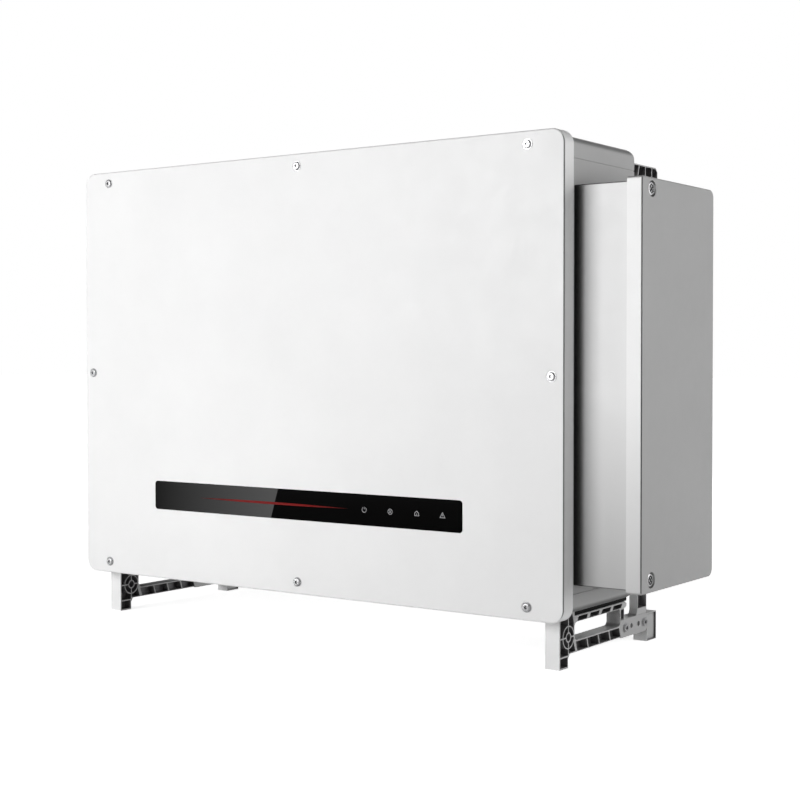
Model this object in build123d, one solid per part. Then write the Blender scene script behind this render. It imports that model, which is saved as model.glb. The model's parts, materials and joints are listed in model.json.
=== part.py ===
from build123d import *
import os

# A wall or rack mounted string inverter, in millimetres.
#
# Every piece is drawn from the lower left corner of the front cover: x runs right,
# y runs back from the cover's face and z runs up. save_parts() moves the pieces to the
# part's own frame, whose origin is the centre of the bottom of the whole box.

# ---- Driving dimensions ------------------------------------------------------------
OVERALL_WIDTH = 1120.0
OVERALL_DEPTH = 368.0
OVERALL_HEIGHT = 810.0
SCREW_PROUD = 3.0

COVER_WIDTH = 1010.0
COVER_HEIGHT = 732.7
COVER_SHEET = 3.0
COVER_WALL = 2.5
COVER_EDGE = 2.6
COVER_SKIRT = 28.0
COVER_CORNER = 22.0
FOOT_HEIGHT = OVERALL_HEIGHT - COVER_HEIGHT

INSET = 7.6
CASING_LEFT = INSET
CASING_RIGHT = COVER_WIDTH - INSET
CASING_BOTTOM = 8.6
CASING_TOP = 726.0
CASING_FRONT = 6.0
CASING_BACK = 240.0
CASING_WALL = 4.0
CASING_CORNER = 14.0
CASING_REAR_ROUND = 18.0
RIM_DEPTH = 8.0
RIM_INSET = 36.0
PARTITION_FRONT = 128.0
PARTITION_BACK = 134.0

BAY_LEFT = 62.0
BAY_RIGHT = 930.0
BAY_FRONT = 50.0
BAY_BACK = 232.0
BAY_ROOF = 37.6

DUCT_BOTTOM = 80.0
DUCT_TOP = 640.0
DUCT_LEFT = 40.0
DUCT_RIGHT = 970.0
PAN_BACK = 292.0
SINK_BOTTOM = 215.0

WINDOW_X = (176.1, 832.3)
WINDOW_Z = (123.6, 174.4)
WINDOW_CORNER = 6.0
LIGHT_BAR_X = (302.0, 608.0)
STATUS_XS = (643.0, 694.5, 746.0, 795.0)
WINDOW_MID_Z = 149.0

SEAM_ZS = (39.5, 692.0)
SEAM_WIDTH = 1.6
SEAM_DEPTH = 1.4

SINK_WINDOWS_X = ((84.0, 446.0), (544.0, 936.0))
SINK_WINDOW_Z = (260.0, 600.0)
DUCT_COVER_SCREWS = [(70.0 + 174.0 * step, z) for step in range(6) for z in (66.5, 648.5)]
FAN_BOX_SCREWS = [(y, 90.0 + 176.0 * step) for y in (60.0, 122.0) for step in range(4)]
LIFTING_XS = (160.0, 847.0)
LIFTING_Y = 150.0
EARTH_YZ = (100.0, 52.0)

BOARD_Y = (92.0, 94.0)
DC_BOARD_X = (60.0, 462.0)
AC_BOARD_X = (524.0, 944.0)
DC_BOARD_Z = (150.0, 660.0)
AC_BOARD_Z = (250.0, 660.0)
CIRCULATION_YZ = (70.0, 620.0)
CIRCULATION_X = (480.0, 505.0)

FAN_BOX_RIGHT = 1094.7
FAN_BOX_Y = (44.0, 275.0)
FAN_BOX_Z = (52.6, 652.4)
FAN_COVER_LEFT = 1095.3
FAN_COVER_Y = (32.0, 282.7)
FAN_COVER_Z = (49.3, 657.7)
SHEET = 2.0

FAN_Y = 159.5
FAN_MIDDLE_Z = 354.5
FAN_PITCH = 184.0
FAN_SIZE = 176.0
FAN_BACK_X = 1010.0
FAN_FRONT_X = 1056.0
FAN_BORE = 82.0
BLADE_TIP = 79.0
FAN_HEIGHTS = [FAN_MIDDLE_Z + FAN_PITCH * step for step in (-1, 0, 1)]

BRACKET_WIDTH = 25.0
BRACKET_LEFTS = {"left": 24.7, "right": 957.6}
BRACKET_WEB = 5.0
POCKET_FLOOR = 11.0
UPPER_BEAM_TOP = -0.6
UPPER_BEAM_BOTTOM = -10.4
BEAM_TOP = -38.4
BEAM_BOTTOM = -56.5
TAIL_TOP = -30.5
TAIL_END = 262.0
POST_Y = (235.0, 248.5)
UPRIGHT_Y = (295.5, 328.5)
UPRIGHT_WIDTH = 14.7
LEG_FRONT = 331.0
ARM_BOTTOM = 664.0
ARM_TOP = 710.5
ARM_SCREW_ZS = (676.0, 698.0)
PAD_SCREW_YS = (50.0, 74.0)
PAD_FRONT = 84.0
SPLICE_SHEET = 5.0
SPLICE_Z = -43.0
SPLICE_SCREW_YS = (252.0, 320.0)
WALL_HOLE = 5.5
WALL_HOLE_DEPTH = 20.0
FOOT_POCKET_DEPTH = 3.0
WALL_HOLE_ZS = (-41.1, 686.0)
WALL_PLANE = OVERALL_DEPTH - SCREW_PROUD
HUB_Y = 64.3
HUB_Z = -30.8

COVER_SCREWS = [(60.5, 20.4), (503.7, 20.4), (946.9, 20.4), (60.5, 712.3), (503.7, 712.3),
                (946.9, 712.3), (18.8, 366.3), (988.6, 366.3)]
FAN_COVER_SCREWS = [(65.0, 68.0), (65.0, 641.0)]

SWITCH_Y = 92.0
SWITCH_FIRST_X = 92.0
SWITCH_PITCH = 140.0
SWITCH_XS = [SWITCH_FIRST_X + SWITCH_PITCH * index for index in range(4)]
CONNECTOR_PITCH = 19.0
CONNECTOR_XS = [x + 32.0 + CONNECTOR_PITCH * step for x in SWITCH_XS for step in range(5)]
POSITIVE_Y = 74.0
NEGATIVE_Y = 110.0
GLAND_XS = (747.0, 815.0, 883.0)
GLAND_Y = 92.0
GLAND_BORE = 19.0
GLAND_PLATE_X = (711.0, 919.0)
GLAND_PLATE_Y = (57.0, 127.0)
SIGNAL_X = 664.0
PORT_X = 692.0


# ---- Shape helpers -----------------------------------------------------------------
def block(x, y, z):
    """Box between two corners, each argument being a (low, high) pair."""
    size = (x[1] - x[0], y[1] - y[0], z[1] - z[0])
    return Pos(x[0], y[0], z[0]) * Box(*size, align=(Align.MIN, Align.MIN, Align.MIN))


def rod(axis, centre, low, high, radius):
    """Cylinder along an axis; centre holds the other two coordinates in X, Y, Z order."""
    turn = {"X": (0, 90, 0), "Y": (-90, 0, 0), "Z": (0, 0, 0)}[axis]
    start = {"X": (low, *centre), "Y": (centre[0], low, centre[1]), "Z": (*centre, low)}[axis]
    bottom = (Align.CENTER, Align.CENTER, Align.MIN)
    return Pos(*start) * Rot(*turn) * Cylinder(radius, high - low, align=bottom)


def hexagon(axis, centre, low, high, across):
    """Hexagonal prism along an axis, measured across its flats."""
    turn = {"X": (0, 90, 0), "Y": (-90, 0, 0), "Z": (0, 0, 0)}[axis]
    start = {"X": (low, *centre), "Y": (centre[0], low, centre[1]), "Z": (*centre, low)}[axis]
    outline = RegularPolygon(across / 2, 6, major_radius=False)
    return Pos(*start) * Rot(*turn) * extrude(outline, amount=high - low)


def prism_x(points, low, high):
    """Solid with an outline of (y, z) points between two X planes."""
    outline = Face(Wire.make_polygon([(low, y, z) for y, z in points], close=True))
    return extrude(outline, amount=high - low, dir=(1, 0, 0))


def rounded(solid, axis, radius):
    """Round every straight edge that runs along an axis."""
    return fillet(solid.edges().filter_by(axis), radius)


def frame_block(x, y, z, border, corner):
    """Flat ring in the XZ plane with rounded corners."""
    outer = rounded(block(x, y, z), Axis.Y, corner)
    hole_x = (x[0] + border, x[1] - border)
    hole_z = (z[0] + border, z[1] - border)
    hole = block(hole_x, (y[0] - 1, y[1] + 1), hole_z)
    return outer - rounded(hole, Axis.Y, max(corner - border, 1.0))


def group(solids):
    """Several separate solids kept as one piece list."""
    return Compound(children=list(solids))


def grid(xs, ys):
    return [(x, y) for x in xs for y in ys]


def row(first, pitch, count):
    return [first + pitch * index for index in range(count)]


def pan_screw(axis, centre, seat, outward, head, shank, length):
    """Low round-headed screw; outward is +1 or -1, the way its head faces."""
    head_height = head * 0.55
    top = sorted((seat, seat + outward * head_height))
    stem = sorted((seat, seat - outward * length))
    body = rod(axis, centre, top[0], top[1], head) + rod(axis, centre, stem[0], stem[1], shank)
    cut = sorted((seat + outward * head_height * 0.4, seat + outward * (head_height + 1)))
    return body - hexagon(axis, centre, cut[0], cut[1], head * 0.9)


# ---- Front cover -------------------------------------------------------------------
def front_cover():
    outer = block((0, COVER_WIDTH), (0, COVER_SKIRT), (0, COVER_HEIGHT))
    outer = rounded(outer, Axis.Y, COVER_CORNER)
    outer = fillet(outer.edges().group_by(Axis.Y)[0], COVER_EDGE)
    hollow = block((COVER_WALL, COVER_WIDTH - COVER_WALL), (COVER_SHEET, COVER_SKIRT + 1),
                   (COVER_WALL, COVER_HEIGHT - COVER_WALL))
    cover = outer - rounded(hollow, Axis.Y, COVER_CORNER - COVER_WALL)
    aperture = block(WINDOW_X, (-1, COVER_SHEET + 1), WINDOW_Z)
    cover -= rounded(aperture, Axis.Y, WINDOW_CORNER)
    for x, z in COVER_SCREWS:
        cover -= rod("Y", (x, z), -1, 0.8, 9.2)
        cover -= rod("Y", (x, z), -1, COVER_SHEET + 1, 3.6)
    return cover


def cover_gasket():
    inset = 27.0
    return frame_block((inset, COVER_WIDTH - inset), (COVER_SHEET, CASING_FRONT - 0.3),
                       (inset, COVER_HEIGHT - inset), 6.0, 18.0)


def cover_screws():
    screws = []
    for x, z in COVER_SCREWS:
        washer = rod("Y", (x, z), -0.4, 0.8, 8.0)
        head = rod("Y", (x, z), -SCREW_PROUD, -0.4, 6.6)
        head = fillet(head.edges().group_by(Axis.Y)[0], 2.0)
        socket = hexagon("Y", (x, z), -SCREW_PROUD - 1, -0.9, 5.0)
        screws.append(washer + head + rod("Y", (x, z), 0.8, 19.0, 3.0) - socket)
    return group(screws)


def indicator_window():
    gap = 0.2
    edge = 5.0
    pane = block((WINDOW_X[0] + gap, WINDOW_X[1] - gap), (0.3, COVER_SHEET + 0.1),
                 (WINDOW_Z[0] + gap, WINDOW_Z[1] - gap))
    pane = rounded(pane, Axis.Y, WINDOW_CORNER - gap)
    lip = block((WINDOW_X[0] - edge, WINDOW_X[1] + edge), (COVER_SHEET, 5.0),
                (WINDOW_Z[0] - edge, WINDOW_Z[1] + edge))
    return pane + rounded(lip, Axis.Y, WINDOW_CORNER)


def indicator_light_guides():
    bar = block(LIGHT_BAR_X, (5.0, 11.0), (WINDOW_MID_Z - 4, WINDOW_MID_Z + 4))
    dots = [rod("Y", (x, WINDOW_MID_Z), 5.0, 11.0, 7.0) for x in STATUS_XS]
    return group([rounded(bar, Axis.Y, 3.9)] + dots)


def indicator_board():
    board = block((190.0, 818.0), (11.0, 12.6), (130.0, 168.0))
    board += block((500.0, 540.0), (12.6, 18.0), (136.0, 160.0))
    for x in row(240.0, 60.0, 4):
        board += block((x, x + 9), (12.6, 14.4), (144.0, 152.0))
    return board


# ---- Casing ------------------------------------------------------------------------
def rounded_shell(x, y, z, corner, rear_round):
    """Box with rounded corners seen from the front, and rounded rear edges seen from the side."""
    whole = block(x, y, z)
    rear_edges = whole.edges().filter_by(Axis.X).group_by(Axis.Y)[-1]
    return rounded(block(x, y, z), Axis.Y, corner) & fillet(rear_edges, rear_round)


def casing_shell():
    """All the casing's panels as they stand together, before they are told apart."""
    outer = rounded_shell((CASING_LEFT, CASING_RIGHT), (CASING_FRONT, CASING_BACK),
                          (CASING_BOTTOM, CASING_TOP), CASING_CORNER, CASING_REAR_ROUND)
    inside_x = (CASING_LEFT + CASING_WALL, CASING_RIGHT - CASING_WALL)
    inside_z = (CASING_BOTTOM + CASING_WALL, CASING_TOP - CASING_WALL)
    rim_back = CASING_FRONT + RIM_DEPTH
    inner_corner = CASING_CORNER - CASING_WALL
    chamber = rounded(block(inside_x, (rim_back, PARTITION_FRONT), inside_z), Axis.Y, inner_corner)
    duct = rounded_shell(inside_x, (PARTITION_BACK, CASING_BACK - CASING_WALL), inside_z,
                         inner_corner, CASING_REAR_ROUND - CASING_WALL)
    mouth = block((RIM_INSET, COVER_WIDTH - RIM_INSET), (CASING_FRONT - 1, rim_back + 1),
                  (RIM_INSET, COVER_HEIGHT - RIM_INSET))
    shell = outer - chamber - duct - rounded(mouth, Axis.Y, 12.0)

    # The wiring bay is a step in the floor, with walls of its own.
    shell += block((BAY_LEFT - CASING_WALL, BAY_RIGHT + CASING_WALL),
                   (BAY_FRONT - CASING_WALL, BAY_BACK + CASING_WALL),
                   (CASING_BOTTOM, BAY_ROOF + CASING_WALL))
    shell -= block((BAY_LEFT, BAY_RIGHT), (BAY_FRONT, BAY_BACK), (CASING_BOTTOM - 1, BAY_ROOF))

    # Air enters from the fan box on the right, and leaves on the left and through the back.
    shell -= block((DUCT_LEFT, DUCT_RIGHT), (CASING_BACK - CASING_WALL - 1, CASING_BACK + 1),
                   (DUCT_BOTTOM, DUCT_TOP))
    side_y = (PARTITION_BACK + 6, 216.0)
    shell -= block((CASING_LEFT - 1, CASING_LEFT + CASING_WALL + 1), side_y, (DUCT_BOTTOM, DUCT_TOP))
    shell -= block((CASING_RIGHT - CASING_WALL - 1, CASING_RIGHT + 1), side_y,
                   (DUCT_BOTTOM, DUCT_TOP))

    # The partition is open behind the power modules, which sit on the heat sinks.
    for x in SINK_WINDOWS_X:
        shell -= block(x, (PARTITION_FRONT - 1, PARTITION_BACK + 1), SINK_WINDOW_Z)

    for x, z in COVER_SCREWS:
        shell -= rod("Y", (x, z), CASING_FRONT - 1, CASING_FRONT + RIM_DEPTH + 1, 3.3)

    # Shallow seams where the top and bottom sheets meet the flanks.
    for z in SEAM_ZS:
        low, high = z - SEAM_WIDTH / 2, z + SEAM_WIDTH / 2
        for x in ((CASING_LEFT - 1, CASING_LEFT + SEAM_DEPTH),
                  (CASING_RIGHT - SEAM_DEPTH, CASING_RIGHT + 1)):
            shell -= block(x, (COVER_SKIRT, CASING_BACK + 1), (low, high))

    # Floor openings of the bay.
    roof = (BAY_ROOF - 1, BAY_ROOF + CASING_WALL + 1)
    for x in SWITCH_XS:
        shell -= rod("Z", (x, SWITCH_Y), *roof, 9.0)
    for x, y in grid(CONNECTOR_XS, (POSITIVE_Y, NEGATIVE_Y)):
        shell -= rod("Z", (x, y), *roof, 6.6)
    shell -= block((GLAND_PLATE_X[0] + 8, GLAND_PLATE_X[1] - 8),
                   (GLAND_PLATE_Y[0] + 8, GLAND_PLATE_Y[1] - 8), roof)
    for x, y in grid((SIGNAL_X, PORT_X), (POSITIVE_Y, NEGATIVE_Y)):
        shell -= rod("Z", (x, y), *roof, 8.3)

    # Lifting threads in the roof, in bosses that hang inside the air duct.
    for x in LIFTING_XS:
        shell += rod("Z", (x, LIFTING_Y), CASING_TOP - 24, CASING_TOP - 1, 12.0)
        shell -= rod("Z", (x, LIFTING_Y), CASING_TOP - 20, CASING_TOP + 1, 5.1)

    # Tapped holes for the duct cover, the rear frames and the earth screw.
    for x, z in DUCT_COVER_SCREWS:
        shell -= rod("Y", (x, z), CASING_BACK - CASING_WALL - 1, CASING_BACK + 1, 2.6)
    for left in BRACKET_LEFTS.values():
        for z in ARM_SCREW_ZS:
            x = left + BRACKET_WIDTH / 2
            shell -= rod("Y", (x, z), CASING_BACK - CASING_WALL - 1, CASING_BACK + 1, 4.2)
        for y in PAD_SCREW_YS:
            x = left + BRACKET_WIDTH / 2
            floor = CASING_BOTTOM + CASING_WALL
            shell -= rod("Z", (x, y), CASING_BOTTOM - 1, floor + 1, 4.2)
            shell -= rod("Z", (x, y), floor, floor + 5, 7.0)
    shell -= rod("X", EARTH_YZ, CASING_LEFT - 1, CASING_LEFT + CASING_WALL + 1, 4.2)
    for at in FAN_BOX_SCREWS:
        shell -= rod("X", at, CASING_RIGHT - CASING_WALL - 1, CASING_RIGHT + 1, 2.6)
    return shell


def casing():
    """Welded panels: two frames, four walls, the partition and the wiring bay."""
    shell = casing_shell()
    width = (CASING_LEFT, CASING_RIGHT)
    middle = (CASING_LEFT + CASING_RIGHT) / 2
    rim_back = CASING_FRONT + RIM_DEPTH
    rear_front = CASING_BACK - CASING_REAR_ROUND
    depth = (rim_back, rear_front)
    bay_top = BAY_ROOF + CASING_WALL
    wall_z = (bay_top, SEAM_ZS[1])
    partition = shell & block((CASING_LEFT + CASING_WALL, CASING_RIGHT - CASING_WALL),
                              (PARTITION_FRONT, PARTITION_BACK),
                              (bay_top, CASING_TOP - CASING_WALL))
    panels = [
        shell & block(width, (CASING_FRONT, rim_back), (CASING_BOTTOM, CASING_TOP)),
        shell & block(width, (rear_front, CASING_BACK), (bay_top, CASING_TOP)),
        (shell & block(width, depth, (SEAM_ZS[1], CASING_TOP))) - partition,
        (shell & block((CASING_LEFT, middle), depth, wall_z)) - partition,
        (shell & block((middle, CASING_RIGHT), depth, wall_z)) - partition,
        partition,
    ]

    # The bay's roof is four plates around the opening for the gland plate.
    bay_x = (BAY_LEFT - CASING_WALL, BAY_RIGHT + CASING_WALL)
    bay_y = (BAY_FRONT - CASING_WALL, BAY_BACK + CASING_WALL)
    opening_x = (GLAND_PLATE_X[0] + 8, GLAND_PLATE_X[1] - 8)
    opening_y = (GLAND_PLATE_Y[0] + 8, GLAND_PLATE_Y[1] - 8)
    for x, y in (((bay_x[0], opening_x[0]), bay_y), ((opening_x[1], bay_x[1]), bay_y),
                 (opening_x, (bay_y[0], opening_y[0])), (opening_x, (opening_y[1], bay_y[1]))):
        panels.append(shell & block(x, y, (BAY_ROOF, bay_top)))

    # The floor runs round the bay and carries its walls.
    floor = shell - block(bay_x, bay_y, (BAY_ROOF, bay_top))
    floor_z = (CASING_BOTTOM, bay_top)
    for x, y in ((width, (rim_back, BAY_FRONT)), (width, (BAY_BACK, CASING_BACK)),
                 ((CASING_LEFT, BAY_LEFT), (BAY_FRONT, BAY_BACK)),
                 ((BAY_RIGHT, CASING_RIGHT), (BAY_FRONT, BAY_BACK))):
        panels.append(floor & block(x, y, floor_z))
    return group(panels)


def duct_cover():
    """Sheet metal pan over the back of the air duct, open towards the casing and the fans."""
    x = (30.0, 978.0)
    z = (58.0, 657.0)
    flange = block(x, (CASING_BACK, CASING_BACK + SHEET), z)
    body_x = (x[0] + 17, x[1])
    body_z = (z[0] + 17, z[1] - 17)
    pan = rounded(block(body_x, (CASING_BACK, PAN_BACK), body_z), Axis.X, 6.0)
    hollow = block((body_x[0] + SHEET, body_x[1] + 1), (CASING_BACK - 1, PAN_BACK - SHEET),
                   (body_z[0] + SHEET, body_z[1] - SHEET))
    cover = flange + pan - rounded(hollow, Axis.X, 4.0)
    for at in row(body_z[0] + 20, 22.0, 24):
        cover -= block((body_x[0] - 1, body_x[0] + SHEET + 1), (CASING_BACK + 8, PAN_BACK - 10),
                       (at, at + 9))
    for at_x in row(150.0, 232.0, 4):
        cover += block((at_x, at_x + 12), (PAN_BACK - 0.5, PAN_BACK + 2), (140.0, 575.0))
    for at_x, at_z in DUCT_COVER_SCREWS:
        cover -= rod("Y", (at_x, at_z), CASING_BACK - 1, CASING_BACK + SHEET + 1, 3.2)
    return cover


def sheet_screws():
    """Small screws of the duct cover and of the fan box, whose heads are inside the box."""
    screws = []
    for at in DUCT_COVER_SCREWS:
        screws.append(pan_screw("Y", at, CASING_BACK + SHEET, 1, 5.0, 2.5, 9.0))
    for at in FAN_BOX_SCREWS:
        screws.append(pan_screw("X", at, CASING_RIGHT + SHEET, 1, 5.0, 2.5, 10.0))
    return group(screws)


def outlet_grille():
    y = (134.0, 220.0)
    plate = block((CASING_LEFT - 3, CASING_LEFT), y, (72.0, 648.0))
    for z in row(84.0, 14.0, 39):
        plate -= block((CASING_LEFT - 4, CASING_LEFT + 1), (y[0] + 8, y[1] - 8), (z, z + 8))
    return plate


def comb_sink(x, depth_low, depth_high):
    """Heat sink whose fins run along X: a base plate and a comb of thin fins behind it."""
    base_back = depth_low + 9
    thickness = 2.0
    points = [(depth_low, SINK_BOTTOM), (depth_low, DUCT_TOP - 6)]
    for z in reversed(row(SINK_BOTTOM + 2, 13.0, 32)):
        points += [(base_back, z + thickness), (depth_high, z + thickness), (depth_high, z),
                   (base_back, z)]
    points += [(base_back, SINK_BOTTOM)]
    points.insert(2, (base_back, DUCT_TOP - 6))
    return prism_x(points, x[0], x[1])


def heat_sink_boost():
    return comb_sink((62.0, 468.0), PARTITION_BACK, 284.0)


def heat_sink_inverter():
    return comb_sink((522.0, 958.0), PARTITION_BACK, 284.0)


def potted_inductor(x, z, width, height, depth):
    """Aluminium pot filled with a choke, standing out from the partition into the air stream."""
    y = (PARTITION_BACK, PARTITION_BACK + depth)
    pot = rounded(block((x, x + width), y, (z, z + height)), Axis.Y, 8.0)
    for offset in row(14.0, 18.0, int((width - 20) // 18)):
        pot += block((x + offset, x + offset + 3), (y[1] - 1, y[1] + 8), (z + 10, z + height - 10))
    return pot


def boost_inductors():
    return group(potted_inductor(x, 86.0, 84.0, 118.0, 120.0) for x in row(62.0, 92.0, 5))


def filter_inductors():
    return group(potted_inductor(x, 86.0, 132.0, 118.0, 128.0) for x in row(536.0, 142.0, 3))


# ---- Electronics in the sealed chamber ---------------------------------------------


def power_board(x, z):
    board = rounded(block(x, BOARD_Y, z), Axis.Y, 4.0)
    for at in grid((x[0] + 10, x[1] - 10), (z[0] + 10, z[1] - 10)):
        board -= rod("Y", at, BOARD_Y[0] - 1, BOARD_Y[1] + 1, 2.2)
    return board


def dc_power_board():
    return power_board(DC_BOARD_X, DC_BOARD_Z)


def ac_power_board():
    return power_board(AC_BOARD_X, AC_BOARD_Z)


def board_standoffs():
    posts = []
    for x, z in ((DC_BOARD_X, DC_BOARD_Z), (AC_BOARD_X, AC_BOARD_Z)):
        for at in grid((x[0] + 10, x[1] - 10), (z[0] + 10, z[1] - 10)):
            post = hexagon("Y", at, BOARD_Y[1], PARTITION_FRONT, 8.0)
            posts.append(post + rod("Y", at, BOARD_Y[0] - 4, BOARD_Y[1], 2.0))
    return group(posts)


def power_module(x, z, width, height):
    body = rounded(block((x, x + width), (116.0, PARTITION_BACK), (z, z + height)), Axis.Y, 3.0)
    for pin in row(x + 8, (width - 16) / 5, 6):
        for level in (z + 6, z + height - 6):
            body += rod("Y", (pin, level), 96.0, 117.0, 0.8)
    return body


def boost_modules():
    places = grid(row(100.0, 88.0, 4), (280.0, 390.0, 500.0))
    return group(power_module(x, z, 62.0, 56.0) for x, z in places)


def inverter_modules():
    places = grid(row(560.0, 130.0, 3), (300.0, 450.0))
    return group(power_module(x, z, 108.0, 92.0) for x, z in places)


def dc_link_capacitors():
    places = grid(row(96.0, 44.0, 8), row(434.0, 44.0, 5))
    cans = []
    for at in places:
        can = fillet(rod("Y", at, 44.0, BOARD_Y[0], 19.0).edges().group_by(Axis.Y)[0], 2.0)
        cans.append(can - rod("Y", at, 43.0, 44.6, 14.0))
    return group(cans)


def film_capacitors():
    places = grid(row(548.0, 62.0, 6), (560.0, 610.0))
    return group(rounded(block((x, x + 50), (52.0, BOARD_Y[0]), (z, z + 34)), Axis.Y, 2.0)
                 for x, z in places)


def surge_arresters():
    places = [(x, 170.0) for x in row(90.0, 40.0, 6)] + [(x, 480.0) for x in row(560.0, 40.0, 4)]
    return group(rounded(block((x, x + 26), (62.0, BOARD_Y[0]), (z, z + 34)), Axis.Y, 3.0)
                 for x, z in places)


def string_fuses():
    places = grid(row(96.0, 30.0, 12), (230.0, 310.0))
    fuses = []
    for x, z in places:
        fuse = rod("Z", (x, 78.0), z, z + 60, 8.0)
        clips = block((x - 5, x + 5), (80.0, BOARD_Y[0]), (z + 4, z + 10))
        clips += block((x - 5, x + 5), (80.0, BOARD_Y[0]), (z + 50, z + 56))
        fuses.append(fuse + clips)
    return group(fuses)


def ac_relays():
    places = grid(row(572.0, 62.0, 5), (300.0, 350.0))
    return group(rounded(block((x, x + 52), (58.0, BOARD_Y[0]), (z, z + 38)), Axis.Y, 1.5)
                 for x, z in places)


def current_sensors():
    """Ring sensors round the three output busbars."""
    rings = []
    for x in GLAND_XS:
        body = rounded(block((x - 24, x + 24), (56.0, 90.0), (196.0, 214.0)), Axis.Z, 6.0)
        rings.append(body - block((x - 14.5, x + 14.5), (67.5, 74.5), (195.0, 215.0)))
    return group(rings)


def busbars():
    """Three output bars down to the terminals, and the two bars of the DC link."""
    bars = [block((80.0, 920.0), (82.0, 86.0), (z, z + 10)) for z in (388.0, 402.0)]
    for x in GLAND_XS:
        bar = block((x - 14, x + 14), (68.0, 74.0), (110.0, 288.0))
        bar += block((x - 14, x + 14), (68.0, BOARD_Y[0]), (282.0, 288.0))
        bar -= rod("Y", (x, 124.0), 67.0, 75.0, 5.3)
        bars.append(bar)
    return group(bars)


def ac_terminal_block():
    base = rounded(block((716.0, 914.0), (80.0, PARTITION_FRONT), (96.0, 152.0)), Axis.Y, 3.0)
    for x in (781.0, 849.0):
        base += block((x - 2, x + 2), (58.0, 81.0), (96.0, 152.0))
    for x in GLAND_XS:
        base -= block((x - 15, x + 15), (79.0, 80.5), (95.0, 153.0))
        base += block((x - 14, x + 14), (74.0, 82.0), (112.0, 136.0))
        base -= rod("Y", (x, 124.0), 73.0, 96.0, 5.0)
    return base


def terminal_bolts():
    return group(pan_screw("Y", (x, 124.0), 68.0, -1, 8.5, 4.9, 26.0) for x in GLAND_XS)


def control_board():
    board = rounded(block((560.0, 900.0), (32.0, 33.6), (400.0, 540.0)), Axis.Y, 3.0)
    board += block((620.0, 652.0), (28.5, 32.0), (450.0, 482.0))
    board += block((700.0, 724.0), (29.0, 32.0), (440.0, 464.0))
    for x in row(580.0, 40.0, 7):
        board += block((x, x + 26), (22.0, 32.0), (404.0, 414.0))
    return board


def control_shield():
    """Folded tray that carries the control board in front of the output board."""
    tray = block((554.0, 906.0), (38.0, 40.0), (394.0, 546.0))
    for x in (554.0, 904.0):
        tray += block((x, x + 2), (30.0, 40.0), (394.0, 546.0))
    for at in grid((570.0, 890.0), (424.0, 532.0)):
        tray += rod("Y", at, 33.6, 38.0, 3.5)
        tray += rod("Y", at, 40.0, BOARD_Y[0], 4.0)
    return tray


def circulation_fan_frame():
    y, z = CIRCULATION_YZ
    low, high = CIRCULATION_X
    frame = rounded(block((low, high), (y - 40, y + 40), (z - 40, z + 40)), Axis.X, 6.0)
    frame -= rod("X", CIRCULATION_YZ, low - 1, high + 1, 37.5)
    frame += rod("X", CIRCULATION_YZ, low, low + 3, 15.0)
    for angle in (45, 135):
        bar = Box(3, 76, 4)
        frame += Pos(low + 1.5, y, z) * Rot(angle, 0, 0) * bar
    frame += block((low, high), (y + 40, PARTITION_FRONT), (z - 20, z - 16))
    return frame - rod("X", CIRCULATION_YZ, low - 1, low + 3.5, 2.05)


def impeller(yz, low, high, hub, tip, blades, pitch_angle):
    """Axial fan wheel: a cup-shaped hub with flat blades set at an angle."""
    wheel = rod("X", yz, low, high, hub)
    wheel -= rod("X", yz, low - 1, high - 3, hub - 3)
    disc = rod("X", yz, low, high, tip)
    reach = tip - hub + 6
    vane = Box(high - low + 14, 2.4, reach)
    ring = None
    for index in range(blades):
        turn = Rot(360.0 / blades * index, 0, 0)
        piece = turn * Pos(0, 0, hub - 1.5 + reach / 2) * Rot(0, 0, pitch_angle) * vane
        placed = Pos((low + high) / 2, yz[0], yz[1]) * piece
        ring = placed if ring is None else ring + placed
    return wheel + (ring & disc)


def circulation_fan_rotor():
    low, high = CIRCULATION_X
    wheel = impeller(CIRCULATION_YZ, low + 5, high - 2, 14.0, 36.0, 7, 40)
    return wheel + rod("X", CIRCULATION_YZ, low + 0.2, high - 3, 2.0)


# ---- Wiring bay --------------------------------------------------------------------
def dc_switch_body(x):
    body = block((x - 20, x + 20), (SWITCH_Y - 26, SWITCH_Y + 26), (BAY_ROOF + CASING_WALL, 112.0))
    body = rounded(body, Axis.Z, 3.0)
    for z in row(52.0, 12.0, 5):
        body -= block((x - 21, x - 18), (SWITCH_Y - 27, SWITCH_Y + 27), (z, z + 2))
        body -= block((x + 18, x + 21), (SWITCH_Y - 27, SWITCH_Y + 27), (z, z + 2))
    body += rod("Z", (x, SWITCH_Y), BAY_ROOF, BAY_ROOF + CASING_WALL, 8.7)
    return body - rod("Z", (x, SWITCH_Y), BAY_ROOF - 1, 70.0, 4.05)


def dc_switch_bodies():
    return group(dc_switch_body(x) for x in SWITCH_XS)


def dc_switch_knob(x):
    at = (x, SWITCH_Y)
    knob = rod("Z", at, 26.0, BAY_ROOF - 1.0, 19.0)
    knob = fillet(knob.edges().group_by(Axis.Z)[0], 2.0)
    grip = rounded(block((x - 5, x + 5), (SWITCH_Y - 17, SWITCH_Y + 17), (12.0, 27.0)), Axis.Z, 4.0)
    pointer = block((x - 1, x + 1), (SWITCH_Y - 17, SWITCH_Y - 6), (11.4, 12.5))
    return knob + grip + pointer + rod("Z", at, BAY_ROOF - 2.0, 68.0, 4.0)


def dc_connector(x, y):
    """Panel-mounted single-pole socket: a nut inside the chamber and a barrel in the bay."""
    body = rod("Z", (x, y), 12.0, BAY_ROOF, 7.4)
    body += hexagon("Z", (x, y), 31.0, BAY_ROOF, 16.0)
    body += rod("Z", (x, y), BAY_ROOF, 60.0, 6.3)
    body += hexagon("Z", (x, y), BAY_ROOF + CASING_WALL, 47.0, 16.0)
    return body - rod("Z", (x, y), 11.0, 33.0, 5.2) + rod("Z", (x, y), 16.0, 34.0, 2.0)


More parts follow.
